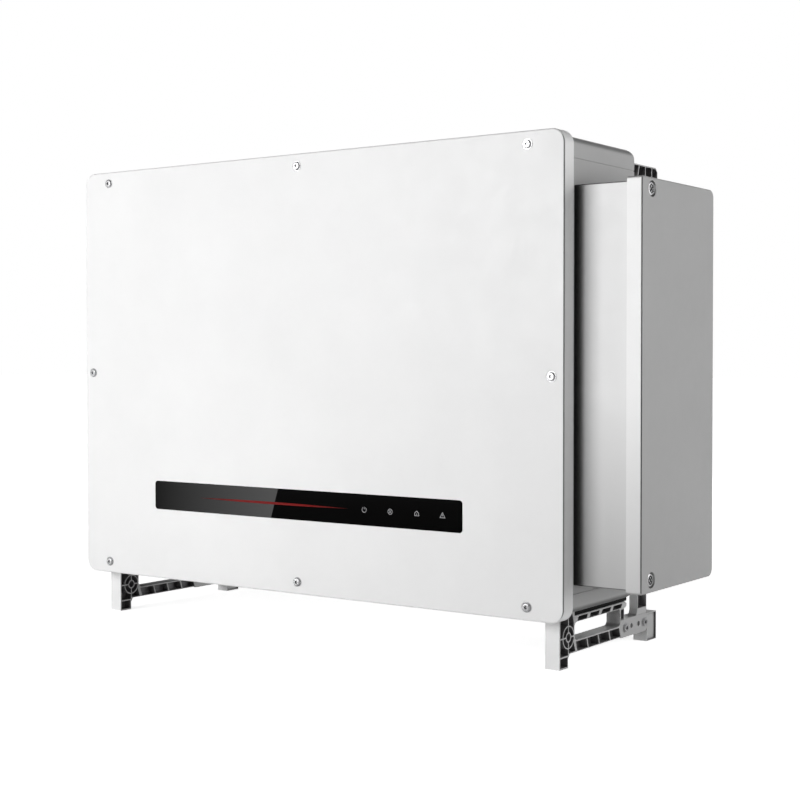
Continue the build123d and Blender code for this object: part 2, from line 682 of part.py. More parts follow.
def dc_connectors():
    """Positive sockets in the front row, and negative ones behind them."""
    return group(dc_connector(x, y) for x, y in grid(CONNECTOR_XS, (POSITIVE_Y, NEGATIVE_Y)))


def ac_gland_plate():
    plate = block(GLAND_PLATE_X, GLAND_PLATE_Y, (BAY_ROOF - 3, BAY_ROOF))
    for x in GLAND_XS:
        plate -= rod("Z", (x, GLAND_Y), BAY_ROOF - 4, BAY_ROOF + 1, 23.3)
    return plate


def ac_cable_glands():
    glands = []
    seat = BAY_ROOF - 3
    for x in GLAND_XS:
        at = (x, GLAND_Y)
        gland = rod("Z", at, seat, BAY_ROOF + 14, 23.0)
        gland += hexagon("Z", at, seat - 8, seat, 56.0)
        gland += rod("Z", at, BAY_ROOF, BAY_ROOF + 8, 26.0)
        nut = fillet(rod("Z", at, 6.0, seat - 8, 27.0).edges().group_by(Axis.Z)[0], 3.0)
        glands.append(gland + nut - rod("Z", at, 5.0, BAY_ROOF + 15, GLAND_BORE))
    return group(glands)


def signal_glands():
    glands = []
    for y in (POSITIVE_Y, NEGATIVE_Y):
        at = (SIGNAL_X, y)
        gland = rod("Z", at, BAY_ROOF, BAY_ROOF + 10, 8.0) + hexagon("Z", at, 31.0, BAY_ROOF, 22.0)
        gland += fillet(rod("Z", at, 16.0, 31.0, 10.0).edges().group_by(Axis.Z)[0], 2.0)
        glands.append(gland - rod("Z", at, 15.0, BAY_ROOF + 11, 4.5))
    return group(glands)


def data_port_cap():
    at = (PORT_X, POSITIVE_Y)
    cap = rod("Z", at, 22.0, BAY_ROOF, 11.0)
    for angle in range(0, 360, 30):
        notch = Pos(PORT_X, POSITIVE_Y, 28.0) * Rot(0, 0, angle) * Pos(11.4, 0, 0) * Cylinder(1.2, 14)
        cap -= notch
    return cap + rod("Z", at, BAY_ROOF, BAY_ROOF + 8, 8.0)


def breather_vent():
    at = (PORT_X, NEGATIVE_Y)
    vent = hexagon("Z", at, 30.0, BAY_ROOF, 19.0) + rod("Z", at, BAY_ROOF, BAY_ROOF + 8, 8.0)
    vent += rod("Z", at, 25.0, 30.0, 8.0)
    for angle in (0, 60, 120):
        vent -= Pos(PORT_X, NEGATIVE_Y, 27.5) * Rot(0, 0, angle) * Box(20, 2, 2)
    return vent


def earth_screw():
    washer = rod("X", EARTH_YZ, CASING_LEFT - 1.6, CASING_LEFT, 9.0)
    head = hexagon("X", EARTH_YZ, CASING_LEFT - 6.6, CASING_LEFT - 1.6, 13.0)
    return washer + head + rod("X", EARTH_YZ, CASING_LEFT, CASING_LEFT + 14, 4.0)


# ---- Fan box and the tray that pulls out of it -------------------------------------
def fan_box():
    box = rounded(block((CASING_RIGHT, FAN_BOX_RIGHT), FAN_BOX_Y, FAN_BOX_Z), Axis.X, 2.5)
    inner_y = (FAN_BOX_Y[0] + SHEET, FAN_BOX_Y[1] - SHEET)
    inner_z = (FAN_BOX_Z[0] + SHEET, FAN_BOX_Z[1] - SHEET)
    box -= block((CASING_RIGHT + SHEET, FAN_BOX_RIGHT + 1), inner_y, inner_z)
    box -= block((CASING_RIGHT - 1, CASING_RIGHT + SHEET + 1), (PARTITION_BACK + 6, 216.0),
                 (DUCT_BOTTOM, DUCT_TOP))
    # Throat that joins the box to the duct cover behind the casing.
    throat_y = (CASING_BACK + 2.5, FAN_BOX_Y[1])
    box += block((978.0, CASING_RIGHT + SHEET), throat_y, (77.0, 638.0))
    box -= block((977.0, CASING_RIGHT + SHEET + 1), (throat_y[0] + SHEET, throat_y[1] - SHEET),
                 (79.0, 636.0))
    # Air inlet slots in the back and the floor, outboard of the fans.
    for z in row(84.0, 15.0, 37):
        box -= block((1063.0, 1090.0), (FAN_BOX_Y[1] - SHEET - 1, FAN_BOX_Y[1] + 1), (z, z + 8))
    for y in row(90.0, 15.0, 11):
        box -= block((1063.0, 1090.0), (y, y + 8), (FAN_BOX_Z[0] - 1, FAN_BOX_Z[0] + SHEET + 1))
    # Tapped blocks for the two captive screws of the fan cover.
    for y, z in FAN_COVER_SCREWS:
        low = FAN_BOX_Z[0] + 1 if z < FAN_MIDDLE_Z else z - 8
        high = z + 8 if z < FAN_MIDDLE_Z else FAN_BOX_Z[1] - 1
        box += block((1072.0, 1092.0), (FAN_BOX_Y[0] + 1, y + 9), (low, high))
        box -= rod("X", (y, z), 1071.0, 1093.0, 3.3)
    for y, z in FAN_BOX_SCREWS:
        box -= rod("X", (y, z), CASING_RIGHT - 1, CASING_RIGHT + SHEET + 1, 3.0)
    return box


def fan_cover():
    cover = block((FAN_COVER_LEFT, OVERALL_WIDTH), FAN_COVER_Y, FAN_COVER_Z)
    long_edges = cover.edges().filter_by(Axis.X)
    cover = fillet(long_edges.group_by(Axis.Y)[-1], 13.0)
    cover = fillet(cover.edges().filter_by(Axis.X).group_by(Axis.Y)[0], 5.0)
    cover = fillet(cover.edges().group_by(Axis.X)[-1], COVER_EDGE)
    wall = 3.0
    hollow = block((FAN_COVER_LEFT + 2, OVERALL_WIDTH - wall),
                   (FAN_COVER_Y[0] + wall, FAN_COVER_Y[1] - wall),
                   (FAN_COVER_Z[0] + wall, FAN_COVER_Z[1] - wall))
    cover -= rounded(hollow, Axis.X, 3.0)
    mouth = block((FAN_COVER_LEFT - 1, FAN_COVER_LEFT + 3), (FAN_BOX_Y[0] + 4, FAN_BOX_Y[1] - 4),
                  (FAN_BOX_Z[0] + 4, FAN_BOX_Z[1] - 4))
    cover -= mouth
    for at in FAN_COVER_SCREWS:
        cover += rod("X", at, 1104.0, OVERALL_WIDTH - 1, 14.5)
        cover -= rod("X", at, 1112.0, OVERALL_WIDTH + 1, 12.0)
        cover -= rod("X", at, 1103.0, OVERALL_WIDTH + 1, 3.4)
    return cover


def fan_cover_screws():
    """Captive screws with large cross-cut heads, sunk in round wells."""
    screws = []
    for y, z in FAN_COVER_SCREWS:
        head = rod("X", (y, z), 1112.0, 1118.6, 10.0)
        head = fillet(head.edges().group_by(Axis.X)[-1], 1.5)
        head -= rod("X", (y, z), 1116.8, 1119.0, 7.0) - rod("X", (y, z), 1116.0, 1120.0, 4.6)
        for angle in (45, 135):
            slot = Box(6.0, 2.4, 14.0)
            head -= Pos(1119.6, y, z) * Rot(angle, 0, 0) * slot
        head -= rod("X", (y, z), 1113.5, 1120.0, 2.4)
        screws.append(head + rod("X", (y, z), 1078.0, 1112.5, 3.0))
    return group(screws)


def fan_tray():
    """Plate that carries the fans, held off the fan cover by four posts."""
    plate = block((FAN_FRONT_X, FAN_FRONT_X + SHEET), (56.0, 263.0), (78.0, 631.0))
    for z in FAN_HEIGHTS:
        plate -= rod("X", (FAN_Y, z), FAN_FRONT_X - 1, FAN_FRONT_X + SHEET + 1, 78.0)
        for at in grid((FAN_Y - 79, FAN_Y + 79), (z - 79, z + 79)):
            plate -= rod("X", at, FAN_FRONT_X - 1, FAN_FRONT_X + SHEET + 1, 2.3)
    for at in grid((63.0, 256.0), (100.0, 354.5, 609.0)):
        plate += rod("X", at, FAN_FRONT_X + SHEET - 0.5, OVERALL_WIDTH - 3.0, 4.0)
    return plate


def fan_frame(z):
    frame = block((FAN_BACK_X, FAN_FRONT_X), (FAN_Y - FAN_SIZE / 2, FAN_Y + FAN_SIZE / 2),
                  (z - FAN_SIZE / 2, z + FAN_SIZE / 2))
    frame = rounded(frame, Axis.X, 10.0)
    frame -= rod("X", (FAN_Y, z), FAN_BACK_X - 1, FAN_FRONT_X + 1, FAN_BORE)
    for at in grid((FAN_Y - 79, FAN_Y + 79), (z - 79, z + 79)):
        frame -= rod("X", at, FAN_BACK_X - 1, FAN_FRONT_X + 1, 2.2)
    frame += rod("X", (FAN_Y, z), FAN_BACK_X, FAN_BACK_X + 4, 34.0)
    for angle in (0, 90):
        strut = Box(4, 2 * FAN_BORE + 4, 7)
        frame += Pos(FAN_BACK_X + 2, FAN_Y, z) * Rot(angle + 20, 0, 0) * strut
    frame += rod("X", (FAN_Y, z), FAN_BACK_X + 4, FAN_BACK_X + 24, 8.0)
    return frame - rod("X", (FAN_Y, z), FAN_BACK_X - 1, FAN_BACK_X + 25, 3.05)


def fan_frames():
    return group(fan_frame(z) for z in FAN_HEIGHTS)


def fan_rotor(z):
    wheel = impeller((FAN_Y, z), FAN_BACK_X + 6, FAN_FRONT_X - 4, 36.0, BLADE_TIP, 7, 38)
    return wheel + rod("X", (FAN_Y, z), FAN_BACK_X + 1, FAN_FRONT_X - 6, 3.0)


def fan_guard(z):
    """Finger guard: rings joined by crossed spokes, lying on the fan tray."""
    wire = 2.4
    low = FAN_FRONT_X + SHEET
    spokes = Rot(45, 0, 0) * Box(wire, wire, 172) + Rot(135, 0, 0) * Box(wire, wire, 172)
    guard = Pos(low + wire / 2, FAN_Y, z) * spokes
    for radius in (20.0, 35.0, 50.0, 65.0, 80.0):
        ring = rod("X", (FAN_Y, z), low, low + wire, radius + wire / 2)
        guard += ring - rod("X", (FAN_Y, z), low - 1, low + wire + 1, radius - wire / 2)
    return guard


def fan_guards():
    return group(fan_guard(z) for z in FAN_HEIGHTS)


# ---- Brackets ----------------------------------------------------------------------
def pocketed(outline, pockets, left, floor):
    """Casting with pockets open to the right, and the same pockets, shallower, on its left."""
    right = left + BRACKET_WIDTH
    body = prism_x(outline, left, right)
    for pocket in pockets:
        body -= prism_x(pocket, left + floor, right + 1)
        if floor > BRACKET_WEB:
            body -= prism_x(pocket, left - 1, left + floor - BRACKET_WEB)
    return body


def trapezoids(y_low, y_high, count, z_low, z_high, rib, lean):
    """Outlines of pockets between ribs that all lean the same way."""
    pitch = (y_high - y_low) / count
    cells = []
    for index in range(count):
        start = y_low + pitch * index + rib / 2
        end = y_low + pitch * (index + 1) - rib / 2
        cells.append([(start, z_high), (start + lean, z_low), (end + lean, z_low), (end, z_high)])
    return cells


def foot_bracket(left):
    right = left + BRACKET_WIDTH
    outline = [(36.6, -77.3), (63.4, -77.3), (63.4, -64.0), (68.0, BEAM_BOTTOM),
               (TAIL_END, BEAM_BOTTOM), (TAIL_END, TAIL_TOP), (POST_Y[1] + 6, TAIL_TOP),
               (POST_Y[1], TAIL_TOP + 6), (POST_Y[1], UPPER_BEAM_BOTTOM),
               (253.0, UPPER_BEAM_BOTTOM), (256.5, -7.0), (256.5, -4.0), (252.0, UPPER_BEAM_TOP),
               (83.0, UPPER_BEAM_TOP), (83.0, CASING_BOTTOM), (36.6, CASING_BOTTOM)]
    leg_top = CASING_BOTTOM - 4
    pockets = [
        [(39.0, -74.9), (61.4, -74.9), (61.4, -60.4), (39.0, -60.4)],
        [(39.0, -58.0), (63.2, -58.0), (63.2, -31.8), (39.0, -31.8)],
        [(39.0, -29.8), (63.2, -29.8), (63.2, leg_top), (39.0, leg_top)],
        [(65.2, -29.8), (80.6, -29.8), (80.6, -9.0), (76.0, leg_top), (65.2, leg_top)],
        [(65.2, -55.0), (86.0, -55.0), (80.6, -40.4), (80.6, -31.8), (65.2, -31.8)],
        [(POST_Y[0] + 2, -34.0), (POST_Y[1] - 1.5, -34.0), (POST_Y[1] - 1.5, -12.0),
         (POST_Y[0] + 2, -12.0)],
    ]
    pockets += trapezoids(86.0, 232.0, 4, BEAM_BOTTOM + 1.2, BEAM_TOP - 2.0, 2.4, 5.0)
    pockets += trapezoids(92.0, 246.0, 4, UPPER_BEAM_BOTTOM + 1.0, UPPER_BEAM_TOP - 2.0, 9.0, -4.0)
    body = pocketed(outline, pockets, left, POCKET_FLOOR)
    window = block((left - 1, right + 1), (83.0, POST_Y[0]), (BEAM_TOP, UPPER_BEAM_BOTTOM))
    body -= rounded(window, Axis.X, 8.0)
    # Round boss with two rings and a cross of ribs.
    centre = (HUB_Y, HUB_Z)
    body += rod("X", centre, left, right, 18.0)
    body -= rod("X", centre, left + POCKET_FLOOR, right + 1, 16.2)
    boss = rod("X", centre, left, right, 8.0)
    for size in ((2.0, 34.0), (34.0, 2.0)):
        boss += Pos(left + BRACKET_WIDTH / 2, *centre) * Box(BRACKET_WIDTH, *size)
    body += boss
    body -= rod("X", centre, left - 1, right + 1, 6.0)
    # The tail is stepped back so that the splice plate lies flush.
    body -= block((right - SPLICE_SHEET - 0.2, right + 1), (237.0, TAIL_END + 1), (-59.0, -28.0))
    body -= rod("X", (SPLICE_SCREW_YS[0], SPLICE_Z), left - 1, right + 1, 4.2)
    for y in PAD_SCREW_YS:
        body -= rod("Z", (left + BRACKET_WIDTH / 2, y), leg_top - 1, CASING_BOTTOM + 1, 4.2)
    return body


def foot_pads():
    pads = []
    for left in BRACKET_LEFTS.values():
        pad = block((left + 2, left + BRACKET_WIDTH - 3), (PAD_FRONT, TAIL_END),
                    (UPPER_BEAM_TOP, CASING_BOTTOM))
        pads.append(pad)
    return group(pads)


def splice_plates():
    plates = []
    for left in BRACKET_LEFTS.values():
        right = left + BRACKET_WIDTH
        plate = block((right - SPLICE_SHEET, right), (237.3, 328.7), (-58.6, -29.0))
        plate = rounded(plate, Axis.X, 2.5)
        for y in (SPLICE_SCREW_YS[0], 274.6, 300.0, SPLICE_SCREW_YS[1]):
            plate -= rod("X", (y, SPLICE_Z), right - SPLICE_SHEET - 1, right + 1, 4.2)
        plates.append(plate)
    return group(plates)


def splice_screws():
    screws = []
    for left in BRACKET_LEFTS.values():
        right = left + BRACKET_WIDTH
        for y in SPLICE_SCREW_YS:
            screws.append(pan_screw("X", (y, SPLICE_Z), right, 1, 6.5, 4.0, BRACKET_WIDTH - 1))
    return group(screws)


def rear_frame(left):
    """Post behind the casing, with a leg at its foot and an arm at its top."""
    right = left + BRACKET_WIDTH
    front, back = UPRIGHT_Y
    outline = [(LEG_FRONT, -77.3), (WALL_PLANE, -77.3), (WALL_PLANE, TAIL_TOP), (back, TAIL_TOP),
               (back, 655.0), (back + 9, ARM_BOTTOM), (WALL_PLANE, ARM_BOTTOM),
               (WALL_PLANE, ARM_TOP - 7), (358.0, ARM_TOP), (CASING_BACK, ARM_TOP),
               (CASING_BACK, ARM_BOTTOM), (front - 8, ARM_BOTTOM), (front, 656.0),
               (front, TAIL_TOP + 10), (front - 3, TAIL_TOP + 3), (front - 10, TAIL_TOP),
               (TAIL_END + 2, TAIL_TOP), (TAIL_END + 2, BEAM_BOTTOM + 0.5),
               (LEG_FRONT, BEAM_BOTTOM + 0.5)]
    arm_low, arm_high = ARM_BOTTOM + 2, ARM_TOP - 2
    foot_pocket = [(LEG_FRONT + 1.4, -75.9), (WALL_PLANE - 1.4, -75.9),
                   (WALL_PLANE - 1.4, TAIL_TOP - 1.4), (LEG_FRONT + 1.4, TAIL_TOP - 1.4)]
    pockets = [
        [(344.5, arm_low), (363.2, arm_low), (363.2, 704.0), (357.0, arm_high), (344.5, arm_high)],
        [(321.0, arm_low), (342.5, arm_low), (342.5, arm_high), (321.0, arm_high)],
        [(286.0, arm_low), (319.0, arm_low), (319.0, arm_high), (299.0, arm_high)],
        [(246.0, arm_low), (283.5, arm_low), (296.5, arm_high), (246.0, arm_high)],
    ]
    body = pocketed(outline, pockets, left, BRACKET_WEB)
    body -= prism_x(foot_pocket, right - FOOT_POCKET_DEPTH, right + 1)
    # The post itself is a narrower channel, on the outer side of the casting.
    slim = left + BRACKET_WIDTH - UPRIGHT_WIDTH
    body -= block((left - 1, slim), (front - 1, back + 10), (TAIL_TOP, ARM_BOTTOM))
    body -= block((left - 1, slim), (front - 10, front), (TAIL_TOP + 0.1, ARM_BOTTOM))
    for low in row(-18.0, 112.0, 6):
        cell = [(front + 1.4, low), (back - 1.4, low), (back - 1.4, low + 109.5),
                (front + 1.4, low + 109.5)]
        body -= prism_x(cell, slim + 3, right + 1)
    body -= block((right - SPLICE_SHEET - 0.2, right + 1), (TAIL_END + 1, 329.0), (-57.0, -28.6))
    middle = left + BRACKET_WIDTH / 2 + 1.5
    body -= rod("X", (SPLICE_SCREW_YS[1], SPLICE_Z), left - 1, right + 1, 4.2)
    for z in WALL_HOLE_ZS:
        body -= rod("Y", (middle, z), WALL_PLANE - WALL_HOLE_DEPTH, WALL_PLANE + 1, WALL_HOLE)
    for z in ARM_SCREW_ZS:
        body -= rod("Y", (left + BRACKET_WIDTH / 2, z), CASING_BACK - 1, 247.0, 4.2)
    return body


def rear_frame_screws():
    screws = []
    for left in BRACKET_LEFTS.values():
        for z in ARM_SCREW_ZS:
            screws.append(pan_screw("Y", (left + BRACKET_WIDTH / 2, z), 246.0, 1, 6.5, 4.0, 12.0))
    return group(screws)


def bracket_screws():
    """Screws inside the casing floor that pull the foot brackets up against it."""
    seat = CASING_BOTTOM + CASING_WALL
    screws = []
    for left in BRACKET_LEFTS.values():
        for y in PAD_SCREW_YS:
            screws.append(pan_screw("Z", (left + BRACKET_WIDTH / 2, y), seat, 1, 6.5, 4.0, 9.0))
    return group(screws)


# ---- All nodes ---------------------------------------------------------------------
def build_nodes():
    nodes = {
        "front_cover": front_cover(),
        "cover_gasket": cover_gasket(),
        "cover_screws": cover_screws(),
        "indicator_window": indicator_window(),
        "indicator_light_guides": indicator_light_guides(),
        "indicator_board": indicator_board(),
        "casing": casing(),
        "duct_cover": duct_cover(),
        "sheet_screws": sheet_screws(),
        "outlet_grille": outlet_grille(),
        "heat_sink_boost": heat_sink_boost(),
        "heat_sink_inverter": heat_sink_inverter(),
        "boost_inductors": boost_inductors(),
        "filter_inductors": filter_inductors(),
        "dc_power_board": dc_power_board(),
        "ac_power_board": ac_power_board(),
        "board_standoffs": board_standoffs(),
        "boost_modules": boost_modules(),
        "inverter_modules": inverter_modules(),
        "dc_link_capacitors": dc_link_capacitors(),
        "film_capacitors": film_capacitors(),
        "surge_arresters": surge_arresters(),
        "string_fuses": string_fuses(),
        "ac_relays": ac_relays(),
        "current_sensors": current_sensors(),
        "busbars": busbars(),
        "ac_terminal_block": ac_terminal_block(),
        "terminal_bolts": terminal_bolts(),
        "control_board": control_board(),
        "control_shield": control_shield(),
        "circulation_fan_frame": circulation_fan_frame(),
        "circulation_fan_rotor": circulation_fan_rotor(),
        "dc_switch_bodies": dc_switch_bodies(),
        "dc_connectors": dc_connectors(),
        "ac_gland_plate": ac_gland_plate(),
        "ac_cable_glands": ac_cable_glands(),
        "signal_glands": signal_glands(),
        "data_port_cap": data_port_cap(),
        "breather_vent": breather_vent(),
        "earth_screw": earth_screw(),
        "fan_box": fan_box(),
        "fan_cover": fan_cover(),
        "fan_cover_screws": fan_cover_screws(),
        "fan_tray": fan_tray(),
        "fan_frames": fan_frames(),
        "fan_guards": fan_guards(),
        "foot_pads": foot_pads(),
        "splice_plates": splice_plates(),
        "fixing_screws": group(list(splice_screws().solids()) + list(rear_frame_screws().solids())
                               + list(bracket_screws().solids())),
    }
    for index, x in enumerate(SWITCH_XS, 1):
        nodes[f"dc_switch_knob_{index}"] = dc_switch_knob(x)
    for index, z in enumerate(FAN_HEIGHTS, 1):
        nodes[f"fan_rotor_{index}"] = fan_rotor(z)
    for side, left in BRACKET_LEFTS.items():
        nodes[f"foot_bracket_{side}"] = foot_bracket(left)
        nodes[f"rear_frame_{side}"] = rear_frame(left)
    return nodes


def save_parts(nodes):
    os.makedirs("parts", exist_ok=True)
    to_row = Pos(-OVERALL_WIDTH / 2, SCREW_PROUD - OVERALL_DEPTH / 2, FOOT_HEIGHT)
    for name, shape in nodes.items():
        export_step(to_row * shape, f"parts/{name}.step")
    print(len(nodes), "nodes written")


save_parts(build_nodes())
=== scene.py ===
import json
import math
import random

import bmesh
import bpy
from mathutils import Matrix, Vector


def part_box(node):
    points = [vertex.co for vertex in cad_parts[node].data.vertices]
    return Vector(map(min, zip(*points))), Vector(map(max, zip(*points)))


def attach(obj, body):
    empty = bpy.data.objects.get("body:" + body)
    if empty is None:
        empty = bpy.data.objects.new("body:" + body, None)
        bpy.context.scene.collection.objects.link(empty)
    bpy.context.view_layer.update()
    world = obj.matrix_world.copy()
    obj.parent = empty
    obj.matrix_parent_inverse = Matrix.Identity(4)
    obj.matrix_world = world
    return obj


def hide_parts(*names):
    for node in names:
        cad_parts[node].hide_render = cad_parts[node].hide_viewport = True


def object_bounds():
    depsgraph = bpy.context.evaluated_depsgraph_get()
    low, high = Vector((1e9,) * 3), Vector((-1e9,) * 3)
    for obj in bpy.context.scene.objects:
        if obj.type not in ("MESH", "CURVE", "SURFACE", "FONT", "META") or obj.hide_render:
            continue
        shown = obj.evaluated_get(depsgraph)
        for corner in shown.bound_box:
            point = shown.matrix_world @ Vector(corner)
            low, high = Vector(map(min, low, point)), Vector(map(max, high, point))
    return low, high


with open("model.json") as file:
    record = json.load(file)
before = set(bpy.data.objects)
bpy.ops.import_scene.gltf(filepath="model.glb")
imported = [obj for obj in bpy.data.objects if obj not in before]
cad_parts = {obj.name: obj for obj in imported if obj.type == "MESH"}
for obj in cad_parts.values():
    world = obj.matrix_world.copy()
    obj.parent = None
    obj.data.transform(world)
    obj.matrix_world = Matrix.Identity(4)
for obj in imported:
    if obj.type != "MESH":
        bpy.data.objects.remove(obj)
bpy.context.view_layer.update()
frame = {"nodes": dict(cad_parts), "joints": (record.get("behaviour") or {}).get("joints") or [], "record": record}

# Looks for a rack-mounted string inverter. Everything is in metres, in the CAD's own frame:
# +X right, +Y towards the wall, +Z up, with the front cover facing -Y.

NODES = frame["nodes"]
MM = 0.001
FORWARDS = (0, -1, 0)
random.seed(7)

# Camera: place and lens in metres and millimetres, and the way it looks from, in degrees.
EYE = (1.5428, -2.1316, 0.4721)
EYE_AZIMUTH = 35.449
EYE_ELEVATION = 1.122
LENS = 68.09
SENSOR = 36.0
SHIFT_Y = -0.01625

# Lights: name, angle from straight in front towards +X, distance, height, size and power.
LIGHTS = (
    ("key_front", -19, 3.6, 1.25, (2.4, 1.8), 90.0),
    ("strip_left", -46, 2.1, 0.6, (0.45, 1.2), 3.4),
    ("rim_right", 118, 3.4, 0.75, (2.2, 2.4), 74.0),
    ("fill_right", 76, 3.4, 0.9, (1.6, 1.8), 8.0),
    ("back_soft", 190, 3.2, 1.5, (1.8, 1.8), 16.0),
)
ROOM_LIGHT = 0.03
ROOM_SEEN = 1.0

# Window print, along X from the left end of the light guides.
LINE_START = -17.0 * MM
LINE_END = 306.0 * MM
LINE_HALF_HEIGHT = 2.0 * MM
LINE_POINT = 0.12 * MM
MARKS_AT = tuple(offset * MM for offset in (341.0, 392.5, 444.0, 493.0))
MARK_SIZE = 4.2 * MM
MARK_STROKE = 1.0 * MM

# Small packages on the boards: width, height and rise in millimetres.
CHIP_SIZES = [(3.2, 1.6, 0.8), (5, 4, 1.2), (9, 7, 1.8), (2, 1.2, 0.7), (12, 6, 2.4)]
LEG_PITCH = 1.6 * MM
LEG_LENGTH = 0.8 * MM
LEG_HALF_WIDTH = 0.25 * MM


# ---- Node helpers --------------------------------------------------------------------
def new_material(name):
    material = bpy.data.materials.new(name)
    material.use_nodes = True
    tree = material.node_tree
    shader = tree.nodes["Principled BSDF"]
    return material, tree, shader


def texture_space(tree, scale=(1.0, 1.0, 1.0)):
    """Object coordinates, stretched by scale."""
    place = tree.nodes.new("ShaderNodeTexCoord")
    mapping = tree.nodes.new("ShaderNodeMapping")
    mapping.inputs["Scale"].default_value = scale
    tree.links.new(place.outputs["Object"], mapping.inputs["Vector"])
    return mapping.outputs["Vector"]


def noise(tree, vector, scale, detail=3.0, roughness=0.5):
    node = tree.nodes.new("ShaderNodeTexNoise")
    node.inputs["Scale"].default_value = scale
    node.inputs["Detail"].default_value = detail
    node.inputs["Roughness"].default_value = roughness
    tree.links.new(vector, node.inputs["Vector"])
    return node.outputs["Fac"]


def ramp(tree, value, stops):
    """Colour ramp between two stops, each a position and a colour."""
    node = tree.nodes.new("ShaderNodeValToRGB")
    for element, (position, colour) in zip(node.color_ramp.elements, stops):
        element.position = position
        element.color = (*colour, 1.0)
    tree.links.new(value, node.inputs["Fac"])
    return node.outputs["Color"]


def span(tree, value, low, high, start=0.0, end=1.0):
    """Remap a value from one range to another, clamped."""
    node = tree.nodes.new("ShaderNodeMapRange")
    node.inputs["From Min"].default_value = low
    node.inputs["From Max"].default_value = high
    node.inputs["To Min"].default_value = start
    node.inputs["To Max"].default_value = end
    tree.links.new(value, node.inputs["Value"])
    return node.outputs["Result"]


def mix(tree, factor, first, second):
    """Mix two colours by a factor socket; each colour may be a socket or a plain colour."""
    node = tree.nodes.new("ShaderNodeMix")
    node.data_type = "RGBA"
    for socket, value in ((node.inputs[6], first), (node.inputs[7], second)):
        if isinstance(value, bpy.types.NodeSocket):
            tree.links.new(value, socket)
        else:
            socket.default_value = (*value, 1.0)
    tree.links.new(factor, node.inputs[0])
    return node.outputs[2]


def bump(tree, shader, heights, strength=0.3, distance=0.0002):
    """Add one or more height fields to the shader's normal."""
    normal = None
    for height in heights:
        node = tree.nodes.new("ShaderNodeBump")
        node.inputs["Strength"].default_value = strength
        node.inputs["Distance"].default_value = distance
        tree.links.new(height, node.inputs["Height"])
        if normal is not None:
            tree.links.new(normal, node.inputs["Normal"])
        normal = node.outputs["Normal"]
    tree.links.new(normal, shader.inputs["Normal"])


def tone(colour, factor):
    return tuple(min(1.0, channel * factor) for channel in colour)


def cavity(tree, reach):
    """0 in deep pockets and 1 on open faces, from the piece's own shape."""
    node = tree.nodes.new("ShaderNodeAmbientOcclusion")
    node.samples = 8
    node.only_local = True
    node.inputs["Distance"].default_value = reach
    return node.outputs["AO"]


def shelter(tree, reach, direction):
    """0 close to whatever stands on the side that direction points to, and 1 away from it.

    It is worked out with a fixed normal, so it doesn't depend on which way the face looks."""
    node = tree.nodes.new("ShaderNodeAmbientOcclusion")
    node.samples = 12
    node.inputs["Distance"].default_value = reach
    aim = tree.nodes.new("ShaderNodeCombineXYZ")
    for axis, value in zip("XYZ", Vector(direction).normalized()):
        aim.inputs[axis].default_value = value
    tree.links.new(aim.outputs[0], node.inputs["Normal"])
    return span(tree, node.outputs["AO"], 0.3, 0.55)


def facing(tree, direction):
    """How far the surface looks along a direction."""
    place = tree.nodes.new("ShaderNodeNewGeometry")
    dot = tree.nodes.new("ShaderNodeVectorMath")
    dot.operation = "DOT_PRODUCT"
    dot.inputs[1].default_value = Vector(direction).normalized()
    tree.links.new(place.outputs["True Normal"], dot.inputs[0])
    return dot.outputs["Value"]


def front_faces(tree):
    """1 on faces that look forwards, and 0 on the rest."""
    return span(tree, facing(tree, FORWARDS), 0.8, 0.95)


def coordinate(tree, space, axis):
    """One coordinate of a space."""
    parts = tree.nodes.new("ShaderNodeSeparateXYZ")
    tree.links.new(space, parts.inputs[0])
    return parts.outputs[axis]


def arithmetic(tree, operation, first, second=None):
    """Maths on one or two inputs; the second may be a socket or a plain number."""
    node = tree.nodes.new("ShaderNodeMath")
    node.operation = operation
    tree.links.new(first, node.inputs[0])
    if isinstance(second, bpy.types.NodeSocket):
        tree.links.new(second, node.inputs[1])
    elif second is not None:
        node.inputs[1].default_value = second
    return node.outputs[0]


# ---- Materials -----------------------------------------------------------------------
def powder_coat(name, colour, roughness=0.42, folds=(), front=None, low=None, gap=None,
                well=None):
    """Powder coat: fine orange peel and faint mottling, with shading painted into its colour.

    The painted shading stands in for soft studio light and shadow, and isn't a mark on the real
    surface. folds are the directions that rounded folds face, each with how dark their painted shade
    is. front is a lighter colour painted on faces that look forwards, as painted light. low is two
    heights and a factor: forward faces get a painted shade, darkened by the factor at the lower height
    and not at all at the upper one. gap is how far a painted shadow reaches from a neighbouring piece,
    and the direction that piece lies in. well is the size of the screw wells, which are painted dark
    as shade."""
    material, tree, shader = new_material(name)
    space = texture_space(tree)
    mottle = noise(tree, space, 6.0, 4.0, 0.6)
    base = ramp(tree, mottle, [(0.3, tone(colour, 0.975)), (0.7, tone(colour, 1.015))])
    # Painted light: forward faces take the lighter front colour, with painted shade towards the bottom when low is
    # given.
    if front is not None:
        if low is not None:
            bottom, top, grey = low
            height = span(tree, coordinate(tree, space, "Z"), bottom, top)
            front = mix(tree, height, tone(front, grey), front)
        base = mix(tree, front_faces(tree), base, front)
    # Painted shade along the rounded folds.
    for direction, depth in folds:
        edge = span(tree, facing(tree, direction), 0.86, 0.985)
        base = mix(tree, edge, base, tone(colour, depth))
    # Painted shade in the screw wells.
    if well is not None:
        base = mix(tree, span(tree, cavity(tree, well), 0.5, 0.9), tone(colour, 0.1), base)
    # Painted shadow beside a neighbouring piece.
    if gap is not None:
        reach, direction = gap
        base = mix(tree, shelter(tree, reach, direction), tone(colour, 0.02), base)
    tree.links.new(base, shader.inputs["Base Color"])
    grain = noise(tree, space, 900.0, 2.0, 0.5)
    wave = noise(tree, space, 240.0, 2.0, 0.4)
    patches = noise(tree, space, 35.0, 5.0, 0.6)
    tree.links.new(span(tree, patches, 0.3, 0.7, roughness - 0.05, roughness + 0.06),
                   shader.inputs["Roughness"])
    bump(tree, shader, [grain, wave], 0.12, 0.00006)
    return material


